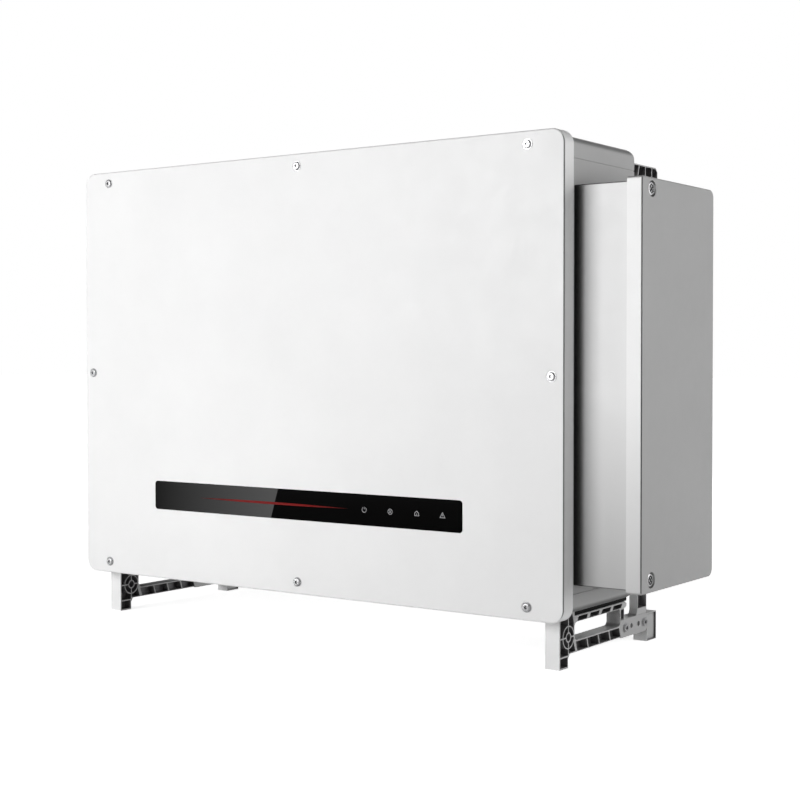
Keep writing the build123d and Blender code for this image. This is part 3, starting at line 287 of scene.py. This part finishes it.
def die_casting(name, colour, dark, front):
    """Coated casting, with painted light on its forward faces and painted shade in its pockets.

    The lighter forward faces and the dark pockets stand in for light and shadow, and aren't a finish
    of the real casting."""
    material, tree, shader = new_material(name)
    space = texture_space(tree)
    open_face = span(tree, cavity(tree, 0.03), 0.55, 0.9)
    mottle = noise(tree, space, 45.0, 5.0, 0.6)
    light = ramp(tree, mottle, [(0.3, tone(colour, 0.95)), (0.7, tone(colour, 1.03))])
    # Painted light: forward faces take the lighter front colour.
    light = mix(tree, front_faces(tree), light, front)
    shade = ramp(tree, mottle, [(0.3, tone(dark, 0.8)), (0.7, tone(dark, 1.3))])
    # Painted shade: deep pockets take the dark colour.
    tree.links.new(mix(tree, open_face, shade, light), shader.inputs["Base Color"])
    tree.links.new(span(tree, mottle, 0.3, 0.7, 0.42, 0.56), shader.inputs["Roughness"])
    bump(tree, shader, [noise(tree, space, 700.0, 3.0, 0.6)], 0.2, 0.0001)
    return material


def metal(name, colour, roughness=0.3, stretch=(1.0, 1.0, 1.0), scratch=400.0, recess=None):
    """Bare or plated metal with fine brushed marks along the unstretched direction.

    recess is the size of the hollows, such as screw drives, that are painted dark as shade."""
    material, tree, shader = new_material(name)
    space = texture_space(tree, stretch)
    streak = noise(tree, space, scratch, 4.0, 0.65)
    stain = noise(tree, texture_space(tree), 22.0, 4.0, 0.6)
    base = ramp(tree, stain, [(0.3, tone(colour, 0.86)), (0.7, tone(colour, 1.05))])
    # Painted shade in the hollows.
    if recess is not None:
        base = mix(tree, span(tree, cavity(tree, recess), 0.45, 0.9), tone(colour, 0.05), base)
    tree.links.new(base, shader.inputs["Base Color"])
    tree.links.new(span(tree, streak, 0.3, 0.7, roughness - 0.08, roughness + 0.1),
                   shader.inputs["Roughness"])
    shader.inputs["Metallic"].default_value = 1.0
    bump(tree, shader, [streak], 0.18, 0.00005)
    return material


def plastic(name, colour, roughness=0.5, grain=600.0):
    """Moulded plastic with a spark-eroded grain and slight colour drift."""
    material, tree, shader = new_material(name)
    space = texture_space(tree)
    drift = noise(tree, space, 18.0, 4.0, 0.55)
    base = ramp(tree, drift, [(0.3, tone(colour, 0.85)), (0.7, tone(colour, 1.15))])
    tree.links.new(base, shader.inputs["Base Color"])
    tree.links.new(span(tree, drift, 0.3, 0.7, roughness - 0.07, roughness + 0.07),
                   shader.inputs["Roughness"])
    bump(tree, shader, [noise(tree, space, grain, 2.0, 0.5)], 0.22, 0.00008)
    return material


def rubber(name, colour):
    """Matt black rubber with a faint uneven bloom."""
    material, tree, shader = new_material(name)
    space = texture_space(tree)
    bloom = noise(tree, space, 60.0, 5.0, 0.65)
    base = ramp(tree, bloom, [(0.35, colour), (0.75, tone(colour, 2.2))])
    tree.links.new(base, shader.inputs["Base Color"])
    shader.inputs["Roughness"].default_value = 0.82
    shader.inputs["Specular IOR Level"].default_value = 0.15
    bump(tree, shader, [noise(tree, space, 1500.0, 3.0, 0.6)], 0.35, 0.0001)
    return material


def dark_glass(name):
    """Black polished window whose gloss varies faintly."""
    material, tree, shader = new_material(name)
    space = texture_space(tree)
    haze = noise(tree, space, 14.0, 5.0, 0.6)
    base = ramp(tree, haze, [(0.3, (0.0002, 0.0002, 0.0002)), (0.8, (0.0006, 0.0006, 0.0007))])
    tree.links.new(base, shader.inputs["Base Color"])
    tree.links.new(span(tree, haze, 0.35, 0.75, 0.0, 0.015), shader.inputs["Roughness"])
    shader.inputs["IOR"].default_value = 1.48
    shader.inputs["Specular IOR Level"].default_value = 0.03
    bump(tree, shader, [noise(tree, space, 3.0, 2.0, 0.5)], 0.05, 0.0003)
    return material


def glow(name, colour, strength, spread):
    """Lit mark that fades towards its two ends along X; spread is its middle and half length."""
    material, tree, shader = new_material(name)
    space = texture_space(tree)
    middle, half = spread
    offset = arithmetic(tree, "SUBTRACT", coordinate(tree, space, "X"), middle)
    distance = arithmetic(tree, "ABSOLUTE", offset)
    fade = span(tree, distance, half * 0.45, half, 1.0, 0.25)
    ripple = span(tree, noise(tree, space, 400.0, 2.0), 0.2, 0.8, 0.9, 1.0)
    level = arithmetic(tree, "MULTIPLY", fade, ripple)
    base = mix(tree, level, tone(colour, 0.01), tone(colour, 0.05))
    tree.links.new(base, shader.inputs["Base Color"])
    tree.links.new(mix(tree, level, (0, 0, 0), colour), shader.inputs["Emission Color"])
    shader.inputs["Emission Strength"].default_value = strength
    shader.inputs["Specular IOR Level"].default_value = 0.05
    shader.inputs["Roughness"].default_value = 0.35
    return material


def circuit_board(name):
    """Solder mask with copper tracks showing through."""
    material, tree, shader = new_material(name)
    fine = tree.nodes.new("ShaderNodeTexBrick")
    fine.inputs["Color1"].default_value = (0.012, 0.12, 0.055, 1)
    fine.inputs["Color2"].default_value = (0.016, 0.15, 0.07, 1)
    fine.inputs["Mortar"].default_value = (0.05, 0.26, 0.13, 1)
    fine.inputs["Scale"].default_value = 60.0
    fine.inputs["Mortar Size"].default_value = 0.02
    turn = tree.nodes.new("ShaderNodeMapping")
    turn.inputs["Rotation"].default_value = (math.pi / 2, 0, 0)
    tree.links.new(texture_space(tree), turn.inputs["Vector"])
    tree.links.new(turn.outputs["Vector"], fine.inputs["Vector"])
    pour = span(tree, noise(tree, texture_space(tree), 30.0, 2.0), 0.48, 0.52)
    base = mix(tree, pour, fine.outputs["Color"], (0.02, 0.17, 0.08))
    tree.links.new(base, shader.inputs["Base Color"])
    shader.inputs["Roughness"].default_value = 0.35
    bump(tree, shader, [fine.outputs["Fac"]], 0.2, 0.00005)
    return material


WHITE = (0.87, 0.87, 0.87)
GREY = (0.43, 0.43, 0.43)
# Side colour of the fan cover, whose forward faces are painted lighter as painted light.
SIDE = (0.38, 0.38, 0.38)
# Heights between which the forward faces of the fan box and its cover fade from painted shade to light.
SHADED_BAND = (0.10, 0.42)

MATERIALS = {
    # Painted shade along the rounded fold of the cover, and along the top and bottom folds of the casing.
    "white_powder_coat": powder_coat("cover_white_coat", WHITE, 0.42, folds=[((1, -1, 0), 0.16)]),
    "casing_powder_coat": powder_coat("casing_grey_coat", GREY, 0.45,
                                      folds=[((1, 0, 1), 0.45), ((1, 0, -1), 0.4)]),
    # Fan box: painted shade low on its forward faces, a painted shadow beside the cover, and painted shade along
    # its top and bottom folds.
    "fan_box_coat": powder_coat("fan_box_coat", WHITE, 0.42, front=WHITE, low=(*SHADED_BAND, 0.5),
                                gap=(0.024, (-1, -1, 0)),
                                folds=[((0, -1, 1), 0.1), ((0, -1, -1), 0.1)]),
    # Fan cover: grey sides, with painted light making its forward faces near white, painted shade low on them, and
    # painted shade along its fold and in its screw wells.
    "fan_cover_coat": powder_coat("fan_cover_coat", SIDE, 0.42, front=(0.97, 0.97, 0.97),
                                  low=(*SHADED_BAND, 0.58), folds=[((1, -1, 0), 0.16)], well=0.006),
    # Bracket: grey sides, painted light on its forward faces, and painted shade in its pockets.
    "bracket_coat": die_casting("bracket_casting", (0.45, 0.45, 0.45), (0.13, 0.127, 0.13),
                                (0.86, 0.86, 0.86)),
    "splice_coat": powder_coat("splice_plate_coat", (0.42, 0.42, 0.42), 0.45),
    "seal_rubber": rubber("black_rubber", (0.006, 0.006, 0.006)),
    # Painted shade in the screw drives.
    "screw_steel": metal("screw_steel", (0.62, 0.62, 0.63), 0.28, (1, 1, 1), 900.0, 0.0025),
    "dark_window": dark_glass("window_glass"),
    "light_guide": plastic("light_guide", (0.6, 0.3, 0.28), 0.3),
    "circuit_board": circuit_board("solder_mask"),
    "bare_aluminium": metal("extruded_aluminium", (0.66, 0.67, 0.69), 0.36, (0.02, 1, 1), 600.0),
    "brass_parts": metal("brass", (0.72, 0.52, 0.22), 0.3),
    "module_plastic": plastic("module_plastic", (0.05, 0.05, 0.055), 0.45),
    "capacitor_can": plastic("capacitor_sleeve", (0.02, 0.03, 0.05), 0.3),
    "grey_plastic": plastic("grey_plastic", (0.2, 0.205, 0.215), 0.5),
    "blue_plastic": plastic("blue_epoxy", (0.03, 0.09, 0.3), 0.35),
    "black_plastic": plastic("black_plastic", (0.02, 0.02, 0.022), 0.5),
    "knob_plastic": plastic("knob_plastic", (0.025, 0.025, 0.027), 0.4),
    "fuse_ceramic": plastic("fuse_ceramic", (0.75, 0.72, 0.64), 0.25, 200.0),
    "copper_bar": metal("copper_bar", (0.76, 0.38, 0.22), 0.32, (1, 1, 0.05), 500.0),
    "zinc_sheet": metal("zinc_plated_sheet", (0.56, 0.58, 0.6), 0.38, (1, 1, 1), 120.0),
}
SLOT_OF = {part["node"]: part["material_slot"] for part in frame["record"]["subparts"]}
OWN_FINISH = {"fan_cover": "fan_cover_coat", "fan_box": "fan_box_coat", "splice_plates": "splice_coat"}


def paint_nodes():
    """Give every CAD node its own finish, or the one its slot in the record names."""
    for name, node in NODES.items():
        finish = OWN_FINISH.get(name, SLOT_OF[name])
        node.data.materials.clear()
        node.data.materials.append(MATERIALS[finish])


# ---- Mesh helpers --------------------------------------------------------------------
def finish_piece(name, mesh_builder, material, body, smooth=True):
    """Turn a bmesh into a piece that rides on a body."""
    mesh = bpy.data.meshes.new(name)
    mesh_builder.normal_update()
    mesh_builder.to_mesh(mesh)
    mesh_builder.free()
    piece = bpy.data.objects.new(name, mesh)
    bpy.context.scene.collection.objects.link(piece)
    mesh.materials.append(material)
    if smooth:
        for face in mesh.polygons:
            face.use_smooth = True
    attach(piece, body)
    return piece


def add_box(builder, low, high):
    """Closed box between two corners."""
    size = Vector(high) - Vector(low)
    centre = (Vector(high) + Vector(low)) / 2
    place = Matrix.Translation(centre) @ Matrix.Diagonal((*size, 1.0))
    bmesh.ops.create_cube(builder, size=1.0, matrix=place)


def add_rod(builder, start, end, radius, sides=24):
    """Closed cylinder between two points."""
    start = Vector(start)
    end = Vector(end)
    along = end - start
    turn = along.to_track_quat("Z", "Y").to_matrix().to_4x4()
    place = Matrix.Translation((start + end) / 2) @ turn
    bmesh.ops.create_cone(builder, cap_ends=True, segments=sides, radius1=radius, radius2=radius,
                          depth=along.length, matrix=place)


def bridge(builder, here, after):
    """Faces between two closed loops with the same number of points."""
    for index in range(len(here)):
        follow = (index + 1) % len(here)
        builder.faces.new((here[index], here[follow], after[follow], after[index]))


def cap_ends(builder, loops):
    """Close the first and the last loop of a tube."""
    builder.faces.new(reversed(loops[0]))
    builder.faces.new(loops[-1])


def add_ring(builder, centre, axis, major, minor, sides=48, around=10):
    """Closed torus about an axis."""
    turn = Vector(axis).to_track_quat("Z", "Y").to_matrix()
    loops = []
    for step in range(sides):
        angle = 2 * math.pi * step / sides
        loop = []
        for part in range(around):
            tilt = 2 * math.pi * part / around
            reach = major + minor * math.cos(tilt)
            local = Vector((reach * math.cos(angle), reach * math.sin(angle), minor * math.sin(tilt)))
            loop.append(builder.verts.new(Vector(centre) + turn @ local))
        loops.append(loop)
    for step in range(sides):
        for part in range(around):
            builder.faces.new((loops[step][part], loops[(step + 1) % sides][part],
                               loops[(step + 1) % sides][(part + 1) % around],
                               loops[step][(part + 1) % around]))


def add_outline(builder, points, thickness, low_y, high_y, closed=True):
    """Flat strip that follows (x, z) points, with mitred corners, between two depths."""
    count = len(points)
    sides = []
    for index, point in enumerate(points):
        here = Vector(point)
        before = Vector(points[index - 1]) if closed or index else None
        after = Vector(points[(index + 1) % count]) if closed or index < count - 1 else None
        ahead = (after - here).normalized() if after is not None else None
        behind = (here - before).normalized() if before is not None else None
        if ahead is None:
            ahead = behind
        if behind is None:
            behind = ahead
        tangent = (ahead + behind).normalized()
        normal = Vector((-tangent.y, tangent.x))
        spread = thickness / 2 / max(0.3, normal.dot(Vector((-ahead.y, ahead.x))))
        sides.append((here + normal * spread, here - normal * spread))
    quads = []
    for outer, inner in sides:
        quads.append([builder.verts.new((outer.x, low_y, outer.y)),
                      builder.verts.new((inner.x, low_y, inner.y)),
                      builder.verts.new((inner.x, high_y, inner.y)),
                      builder.verts.new((outer.x, high_y, outer.y))])
    last = count if closed else count - 1
    for index in range(last):
        bridge(builder, quads[index], quads[(index + 1) % count])
    if not closed:
        cap_ends(builder, quads)


def arc(centre, radius, start, end, steps):
    """Points of an arc in the XZ plane, with angles in degrees."""
    points = []
    for step in range(steps + 1):
        angle = math.radians(start + (end - start) * step / steps)
        points.append((centre[0] + radius * math.cos(angle), centre[1] + radius * math.sin(angle)))
    return points


def recalc(builder):
    bmesh.ops.recalc_face_normals(builder, faces=builder.faces[:])


# ---- Indicator window ----------------------------------------------------------------
def window_marks():
    """Red light line and four grey status marks, printed on the window's face."""
    low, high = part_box("indicator_window")
    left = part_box("indicator_light_guides")[0].x
    middle_z = (low.z + high.z) / 2
    front = low.y - 0.12 * MM
    back = low.y + 0.05 * MM
    body = "front_cover_unit"

    # The line lies over the long light guide, and tapers to points.
    start_x = left + LINE_START
    end_x = left + LINE_END
    half = (end_x - start_x) / 2
    centre_x = (start_x + end_x) / 2
    builder = bmesh.new()
    steps = 48
    rows = []
    for step in range(steps + 1):
        share = -1 + 2 * step / steps
        reach = LINE_HALF_HEIGHT * (1 - abs(share) ** 2.2) + LINE_POINT
        x = centre_x + half * share
        rows.append([builder.verts.new((x, back, middle_z - reach)),
                     builder.verts.new((x, front, middle_z - reach * 0.8)),
                     builder.verts.new((x, front, middle_z + reach * 0.8)),
                     builder.verts.new((x, back, middle_z + reach))])
    for here, after in zip(rows, rows[1:]):
        bridge(builder, here, after)
    cap_ends(builder, rows)
    recalc(builder)
    red = glow("red_light", (0.9, 0.03, 0.03), 0.15, (centre_x, half))
    finish_piece("red_light_line", builder, red, body, smooth=False)

    grey = plastic("printed_grey", (0.30, 0.30, 0.31), 0.5)
    size = MARK_SIZE
    power, network, home, warning = (left + offset for offset in MARKS_AT)
    builder = bmesh.new()

    def stroke(points, closed=False):
        add_outline(builder, points, MARK_STROKE, front, back, closed)

    # Broken ring with a short bar.
    stroke(arc((power, middle_z), size, 120, 420, 40))
    stroke([(power, middle_z + size * 0.25), (power, middle_z + size * 1.15)])

    # Ring with a cross.
    stroke(arc((network, middle_z), size, 0, 354, 44), closed=True)
    cross = size * 0.5
    for sign in (-1, 1):
        stroke([(network - cross, middle_z - cross * sign), (network + cross, middle_z + cross * sign)])

    # House with a door post.
    house = [(-1.0, -0.9), (1.0, -0.9), (1.0, 0.2), (0.0, 1.05), (-1.0, 0.2)]
    stroke([(home + x * size * 0.9, middle_z + z * size * 0.9) for x, z in house], closed=True)
    stroke([(home, middle_z - size * 0.8), (home, middle_z + size * 0.05)])

    # Triangle with a short bar.
    triangle = [(-1.1, -0.85), (1.1, -0.85), (0.0, 1.05)]
    stroke([(warning + x * size, middle_z + z * size) for x, z in triangle], closed=True)
    stroke([(warning, middle_z - size * 0.3), (warning, middle_z + size * 0.4)])
    recalc(builder)
    finish_piece("status_marks", builder, grey, body, smooth=False)


# ---- Fans ----------------------------------------------------------------------------
def add_hub(builder, centre, back, front, radius):
    """Cup about the fan's axis, with a rounded rim and its closed face in front."""
    wall = 3 * MM
    bore = 0.2 * MM
    profile = [(back, radius - wall), (back, radius), (front - 2.5 * MM, radius),
               (front - 0.7 * MM, radius - 0.8 * MM), (front, radius - wall), (front, bore),
               (front - wall, bore), (front - wall, radius - wall)]
    sides = 56
    rings = []
    for x, reach in profile:
        rings.append([builder.verts.new((x, centre.y + reach * math.cos(2 * math.pi * s / sides),
                                         centre.z + reach * math.sin(2 * math.pi * s / sides)))
                      for s in range(sides)])
    for index in range(len(rings)):
        bridge(builder, rings[index], rings[(index + 1) % len(rings)])


def add_blade(builder, centre, back, front, hub, tip, start, sweep):
    """Cambered blade from inside the hub to the tip, turned more at the root than at the tip.

    start is the angle of its root, and sweep is how far its tip leans round, in degrees."""
    stations = 9
    chord_points = 8
    root_overlap = 1.5 * MM
    camber_height = 2.2 * MM
    edge_thickness = 0.25 * MM
    middle_thickness = 0.95 * MM
    width = front - back
    grid = []
    for station in range(stations):
        share = station / (stations - 1)
        radius = hub - root_overlap + (tip * 0.995 - hub + root_overlap) * share
        lean = math.radians(sweep) * share ** 1.4
        arc_span = math.radians(38 - 8 * share)
        line = []
        for side in (1, -1):
            order = range(chord_points) if side == 1 else reversed(range(chord_points))
            for part in order:
                t = part / (chord_points - 1)
                angle = start + lean + arc_span * (t - 0.5)
                bulge = math.sin(math.pi * t)
                thick = edge_thickness + middle_thickness * bulge * (1 - 0.45 * share)
                x = back + width * (0.06 + 0.88 * t) + camber_height * bulge + side * thick
                line.append(builder.verts.new((x, centre.y + radius * math.sin(angle),
                                               centre.z + radius * math.cos(angle))))
        grid.append(line)
    for here, after in zip(grid, grid[1:]):
        bridge(builder, here, after)
    cap_ends(builder, grid)


def rotor(name, node, body, hub_share, blades, sweep):
    """Fan wheel with curved, swept blades, in the space of its CAD wheel."""
    low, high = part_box(node)
    tip = max(high.z - low.z, high.y - low.y) / 2
    centre = (low + high) / 2
    joint = next(j for j in frame["joints"] if j["child"] == body)
    centre.y = joint["pos_m"][1]
    centre.z = joint["pos_m"][2]
    hub = tip * hub_share
    front = high.x - 0.5 * MM
    back = low.x + 5.5 * MM
    builder = bmesh.new()
    add_hub(builder, centre, back, front, hub)
    add_rod(builder, (low.x, centre.y, centre.z), (front - 2 * MM, centre.y, centre.z), hub * 0.08, 20)
    for blade in range(blades):
        add_blade(builder, centre, back, front, hub, tip, 2 * math.pi * blade / blades, sweep)
    recalc(builder)
    piece = finish_piece(name, builder, MATERIALS["black_plastic"], body)
    piece.modifiers.new("edges", "EDGE_SPLIT").split_angle = math.radians(45)
    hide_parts(node)


def fan_guards():
    """Round wire finger guards, each with four spokes, in place of the flat CAD rings."""
    low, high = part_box("fan_guards")
    wire = 1.1 * MM
    builder = bmesh.new()
    x = (low.x + high.x) / 2
    for joint in frame["joints"]:
        if not joint["name"].startswith("cooling_fan_spin"):
            continue
        centre = Vector((x, joint["pos_m"][1], joint["pos_m"][2]))
        for radius in (20, 35, 50, 65, 80):
            add_ring(builder, centre, (1, 0, 0), radius * MM, wire, 56, 8)
        for angle in (45, 135, 225, 315):
            way = Vector((0, math.cos(math.radians(angle)), math.sin(math.radians(angle))))
            add_rod(builder, centre + way * 19 * MM, centre + way * 81 * MM, wire, 10)
    recalc(builder)
    piece = finish_piece("wire_guards", builder, MATERIALS["zinc_sheet"], "fan_tray_unit")
    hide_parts("fan_guards")


# ---- Small parts on the boards -------------------------------------------------------
def shells(*nodes):
    """Low and high corners of each separate shell in the nodes' meshes."""
    found = []
    for name in nodes:
        builder = bmesh.new()
        builder.from_mesh(NODES[name].data)
        bmesh.ops.remove_doubles(builder, verts=builder.verts[:], dist=1e-6)
        left = set(builder.verts)
        while left:
            queue = [left.pop()]
            points = []
            while queue:
                vertex = queue.pop()
                points.append(vertex.co.copy())
                for edge in vertex.link_edges:
                    other = edge.other_vert(vertex)
                    if other in left:
                        left.remove(other)
                        queue.append(other)
            found.append((Vector(map(min, zip(*points))), Vector(map(max, zip(*points)))))
        builder.free()
    return sorted(found, key=lambda pair: tuple(pair[0]))


def add_chip(builder, x, z, width, height, rise, front_y):
    """Package standing on a row of legs along each long side."""
    add_box(builder, (x, front_y - rise, z), (x + width, front_y - rise * 0.2, z + height))
    legs = max(2, int(width / LEG_PITCH))
    for leg in range(legs):
        at = x + width * (leg + 0.5) / legs
        for end in (z - LEG_LENGTH, z + height):
            add_box(builder, (at - LEG_HALF_WIDTH, front_y - rise * 0.5, end),
                    (at + LEG_HALF_WIDTH, front_y, end + LEG_LENGTH))


def board_parts(name, node, count, occupied, body):
    """Scatter chips and small parts over the free places of a board's front face."""
    low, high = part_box(node)
    builder = bmesh.new()
    gap = 2 * MM
    near_margin = 8 * MM
    right_margin = 22 * MM
    top_margin = 18 * MM
    taken = [(a.x - gap, b.x + gap, a.z - gap, b.z + gap) for a, b in occupied]
    for _ in range(count):
        width, height, rise = (value * MM for value in random.choice(CHIP_SIZES))
        x = random.uniform(low.x + near_margin, high.x - right_margin)
        z = random.uniform(low.z + near_margin, high.z - top_margin)
        spot = (x, x + width, z - LEG_LENGTH, z + height + LEG_LENGTH)
        if any(spot[0] < b and spot[1] > a and spot[2] < d and spot[3] > c for a, b, c, d in taken):
            continue
        taken.append((spot[0] - gap, spot[1] + gap, spot[2] - gap, spot[3] + gap))
        add_chip(builder, x, z, width, height, rise, low.y)
    recalc(builder)
    finish_piece(name, builder, MATERIALS["module_plastic"], body, smooth=False)


def populate_boards():
    """Small parts on the two power boards, clear of what already stands on them."""
    busy = shells("dc_link_capacitors", "surge_arresters", "string_fuses", "busbars", "board_standoffs",
                  "film_capacitors", "ac_relays", "control_shield", "circulation_fan_frame")
    board_parts("dc_board_parts", "dc_power_board", 700, busy, "housing")
    board_parts("ac_board_parts", "ac_power_board", 500, busy, "housing")


# ---- Marks on the wiring side --------------------------------------------------------
def polarity_rings():
    """Red rings on the front row of sockets and blue ones on the rear row, near their rims."""
    barrel = 7.4 * MM
    sockets = shells("dc_connectors")
    low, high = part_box("dc_connectors")
    middle = (low.y + high.y) / 2
    for name, colour, front_row in (("positive_rings", (0.5, 0.02, 0.02), True),
                                    ("negative_rings", (0.02, 0.08, 0.4), False)):
        builder = bmesh.new()
        for a, b in sockets:
            centre = (a + b) / 2
            if (centre.y < middle) == front_row:
                add_ring(builder, (centre.x, centre.y, low.z + 4 * MM), (0, 0, 1), barrel, 0.6 * MM, 28, 8)
        recalc(builder)
        finish_piece(name, builder, plastic(name, colour, 0.45), "housing")


def knob_marks():
    """White arrow laid over the pointer of each switch knob."""
    arrow = [(-0.9, 0.0), (0.9, 0.0), (0.9, -7.0), (2.6, -7.0), (0.0, -11.0), (-2.6, -7.0), (-0.9, -7.0)]
    white = plastic("knob_arrow_white", (0.75, 0.75, 0.75), 0.5)
    for joint in frame["joints"]:
        if not joint["name"].startswith("dc_switch_turn"):
            continue
        node = joint["child"].replace("switch_knob", "dc_switch_knob")
        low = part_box(node)[0]
        x, y = joint["pos_m"][0], joint["pos_m"][1]
        builder = bmesh.new()
        levels = []
        for z in (low.z - 0.2 * MM, low.z + 0.9 * MM):
            levels.append([builder.verts.new((x + a * MM, y - 6 * MM + b * MM, z)) for a, b in arrow])
        builder.faces.new(levels[0])
        builder.faces.new(reversed(levels[1]))
        for index in range(len(arrow)):
            follow = (index + 1) % len(arrow)
            builder.faces.new((levels[0][index], levels[1][index], levels[1][follow], levels[0][follow]))
        recalc(builder)
        finish_piece(f"{joint['child']}_arrow", builder, white, joint["child"], smooth=False)


# ---- Stage, lights and camera --------------------------------------------------------
def stage():
    """Pale floor that glows to the camera only, brighter far off, and hardly lights the object."""
    builder = bmesh.new()
    bmesh.ops.create_grid(builder, x_segments=1, y_segments=1, size=30.0)
    mesh = bpy.data.meshes.new("floor")
    builder.to_mesh(mesh)
    builder.free()
    floor = bpy.data.objects.new("floor", mesh)
    bpy.context.scene.collection.objects.link(floor)
    material, tree, shader = new_material("pale_floor")
    speck = noise(tree, texture_space(tree), 3.0, 2.0)
    tree.links.new(ramp(tree, speck, [(0.3, (0.9, 0.9, 0.9)), (0.7, (0.92, 0.92, 0.92))]),
                   shader.inputs["Base Color"])
    shader.inputs["Roughness"].default_value = 0.95
    shader.inputs["Specular IOR Level"].default_value = 0.0
    shader.inputs["Emission Color"].default_value = (1, 1, 1, 1)
    distance = tree.nodes.new("ShaderNodeVectorMath")
    distance.operation = "LENGTH"
    tree.links.new(texture_space(tree), distance.inputs[0])
    glare = span(tree, distance.outputs["Value"], 0.7, 2.2, 0.72, 1.0)
    seen = tree.nodes.new("ShaderNodeLightPath").outputs["Is Camera Ray"]
    level = arithmetic(tree, "ADD", arithmetic(tree, "MULTIPLY", glare, seen), 0.04)
    tree.links.new(level, shader.inputs["Emission Strength"])
    mesh.materials.append(material)


def reflection_card(eye):
    """A small upright card, seen in reflections only, that puts a fading sheen on the window.

    It stands where the window mirrors it to the rest camera, with its near edge slanted, so it
    is laid out for that one view."""
    low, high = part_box("indicator_window")
    reach = 1.5
    edge_x = low.x + 283.0 * MM
    lean = 9.5 * MM
    width = 0.42
    fade = 0.34
    bright, dim = 26.0, 1.5
    mirrored = Vector((eye.x, 2 * low.y - eye.y, eye.z))
    foot = Vector((edge_x, low.y, (low.z + high.z) / 2))
    away = foot - mirrored
    away.z = 0.0
    away.normalize()
    side = Vector((away.y, -away.x, 0.0))
    centre = foot + away * reach

    def on_card(x, z):
        ray = Vector((x, low.y, z)) - mirrored
        return mirrored + ray * ((centre - mirrored).dot(away) / ray.dot(away))

    top = on_card(edge_x + lean, high.z)
    bottom = on_card(edge_x - lean, low.z)
    rise = (top - bottom) * 0.3
    corners = [bottom - rise, top + rise, top + rise + side * width, bottom - rise + side * width]
    axes = (side, Vector((0, 0, 1)), -away)
    builder = bmesh.new()
    builder.faces.new([builder.verts.new([(corner - centre).dot(axis) for axis in axes])
                       for corner in corners])
    mesh = bpy.data.meshes.new("reflection_card")
    builder.to_mesh(mesh)
    builder.free()
    material, tree, shader = new_material("card_glow")
    across = coordinate(tree, texture_space(tree), "X")
    shader.inputs["Base Color"].default_value = (0, 0, 0, 1)
    shader.inputs["Emission Color"].default_value = (1, 1, 1, 1)
    tree.links.new(span(tree, across, 0.0, fade, bright, dim), shader.inputs["Emission Strength"])
    mesh.materials.append(material)
    card = bpy.data.objects.new("reflection_card", mesh)
    card.matrix_world = Matrix.Translation(centre) @ Matrix(axes).transposed().to_4x4()
    card.visible_camera = False
    card.visible_diffuse = False
    card.visible_shadow = False
    bpy.context.scene.collection.objects.link(card)


def area_light(name, position, target, size, power):
    data = bpy.data.lights.new(name, "AREA")
    data.shape = "RECTANGLE"
    data.size, data.size_y = size
    data.energy = power
    lamp = bpy.data.objects.new(name, data)
    lamp.location = position
    lamp.rotation_euler = (Vector(target) - Vector(position)).to_track_quat("-Z", "Y").to_euler()
    bpy.context.scene.collection.objects.link(lamp)


def around(azimuth, distance, height):
    """A point at an angle from straight in front, counted towards +X."""
    angle = math.radians(azimuth)
    return (distance * math.sin(angle), -distance * math.cos(angle), height)


def lights():
    """Soft area lights aimed at the object's middle, and a room that is white to the camera only."""
    low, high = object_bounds()
    middle = (0.0, 0.0, (low[2] + high[2]) / 2)
    for name, azimuth, distance, height, size, power in LIGHTS:
        area_light(name, around(azimuth, distance, height), middle, size, power)
    world = bpy.data.worlds.new("studio")
    world.use_nodes = True
    bpy.context.scene.world = world
    tree = world.node_tree
    background = tree.nodes["Background"]
    background.inputs["Color"].default_value = (1, 1, 1, 1)
    background.inputs["Strength"].default_value = ROOM_LIGHT
    bright = tree.nodes.new("ShaderNodeBackground")
    bright.inputs["Color"].default_value = (1, 1, 1, 1)
    bright.inputs["Strength"].default_value = ROOM_SEEN
    seen = tree.nodes.new("ShaderNodeLightPath")
    blend = tree.nodes.new("ShaderNodeMixShader")
    tree.links.new(seen.outputs["Is Camera Ray"], blend.inputs["Fac"])
    tree.links.new(background.outputs[0], blend.inputs[1])
    tree.links.new(bright.outputs[0], blend.inputs[2])
    tree.links.new(blend.outputs[0], tree.nodes["World Output"].inputs["Surface"])
    bpy.context.scene.view_settings.view_transform = "Standard"


def camera():
    """View from the front right at about the object's own height; gives back the eye point."""
    azimuth = math.radians(EYE_AZIMUTH)
    elevation = math.radians(EYE_ELEVATION)
    back = Vector((math.sin(azimuth) * math.cos(elevation), -math.cos(azimuth) * math.cos(elevation),
                   math.sin(elevation)))
    data = bpy.data.cameras.new("view")
    data.sensor_width = SENSOR
    data.lens = LENS
    data.shift_y = SHIFT_Y
    data.clip_end = 100.0
    eye = bpy.data.objects.new("view", data)
    eye.location = EYE
    eye.rotation_euler = (-back).to_track_quat("-Z", "Y").to_euler()
    bpy.context.scene.collection.objects.link(eye)
    bpy.context.scene.camera = eye
    return eye.location.copy()


# ---- Build ---------------------------------------------------------------------------
eye_point = camera()
lights()
stage()
reflection_card(eye_point)
paint_nodes()
window_marks()
for number in (1, 2, 3):
    rotor(f"cooling_wheel_{number}", f"fan_rotor_{number}", f"cooling_rotor_{number}", 0.46, 7, 22)
rotor("circulation_wheel", "circulation_fan_rotor", "circulation_rotor", 0.4, 7, 20)
fan_guards()
populate_boards()
polarity_rings()
knob_marks()
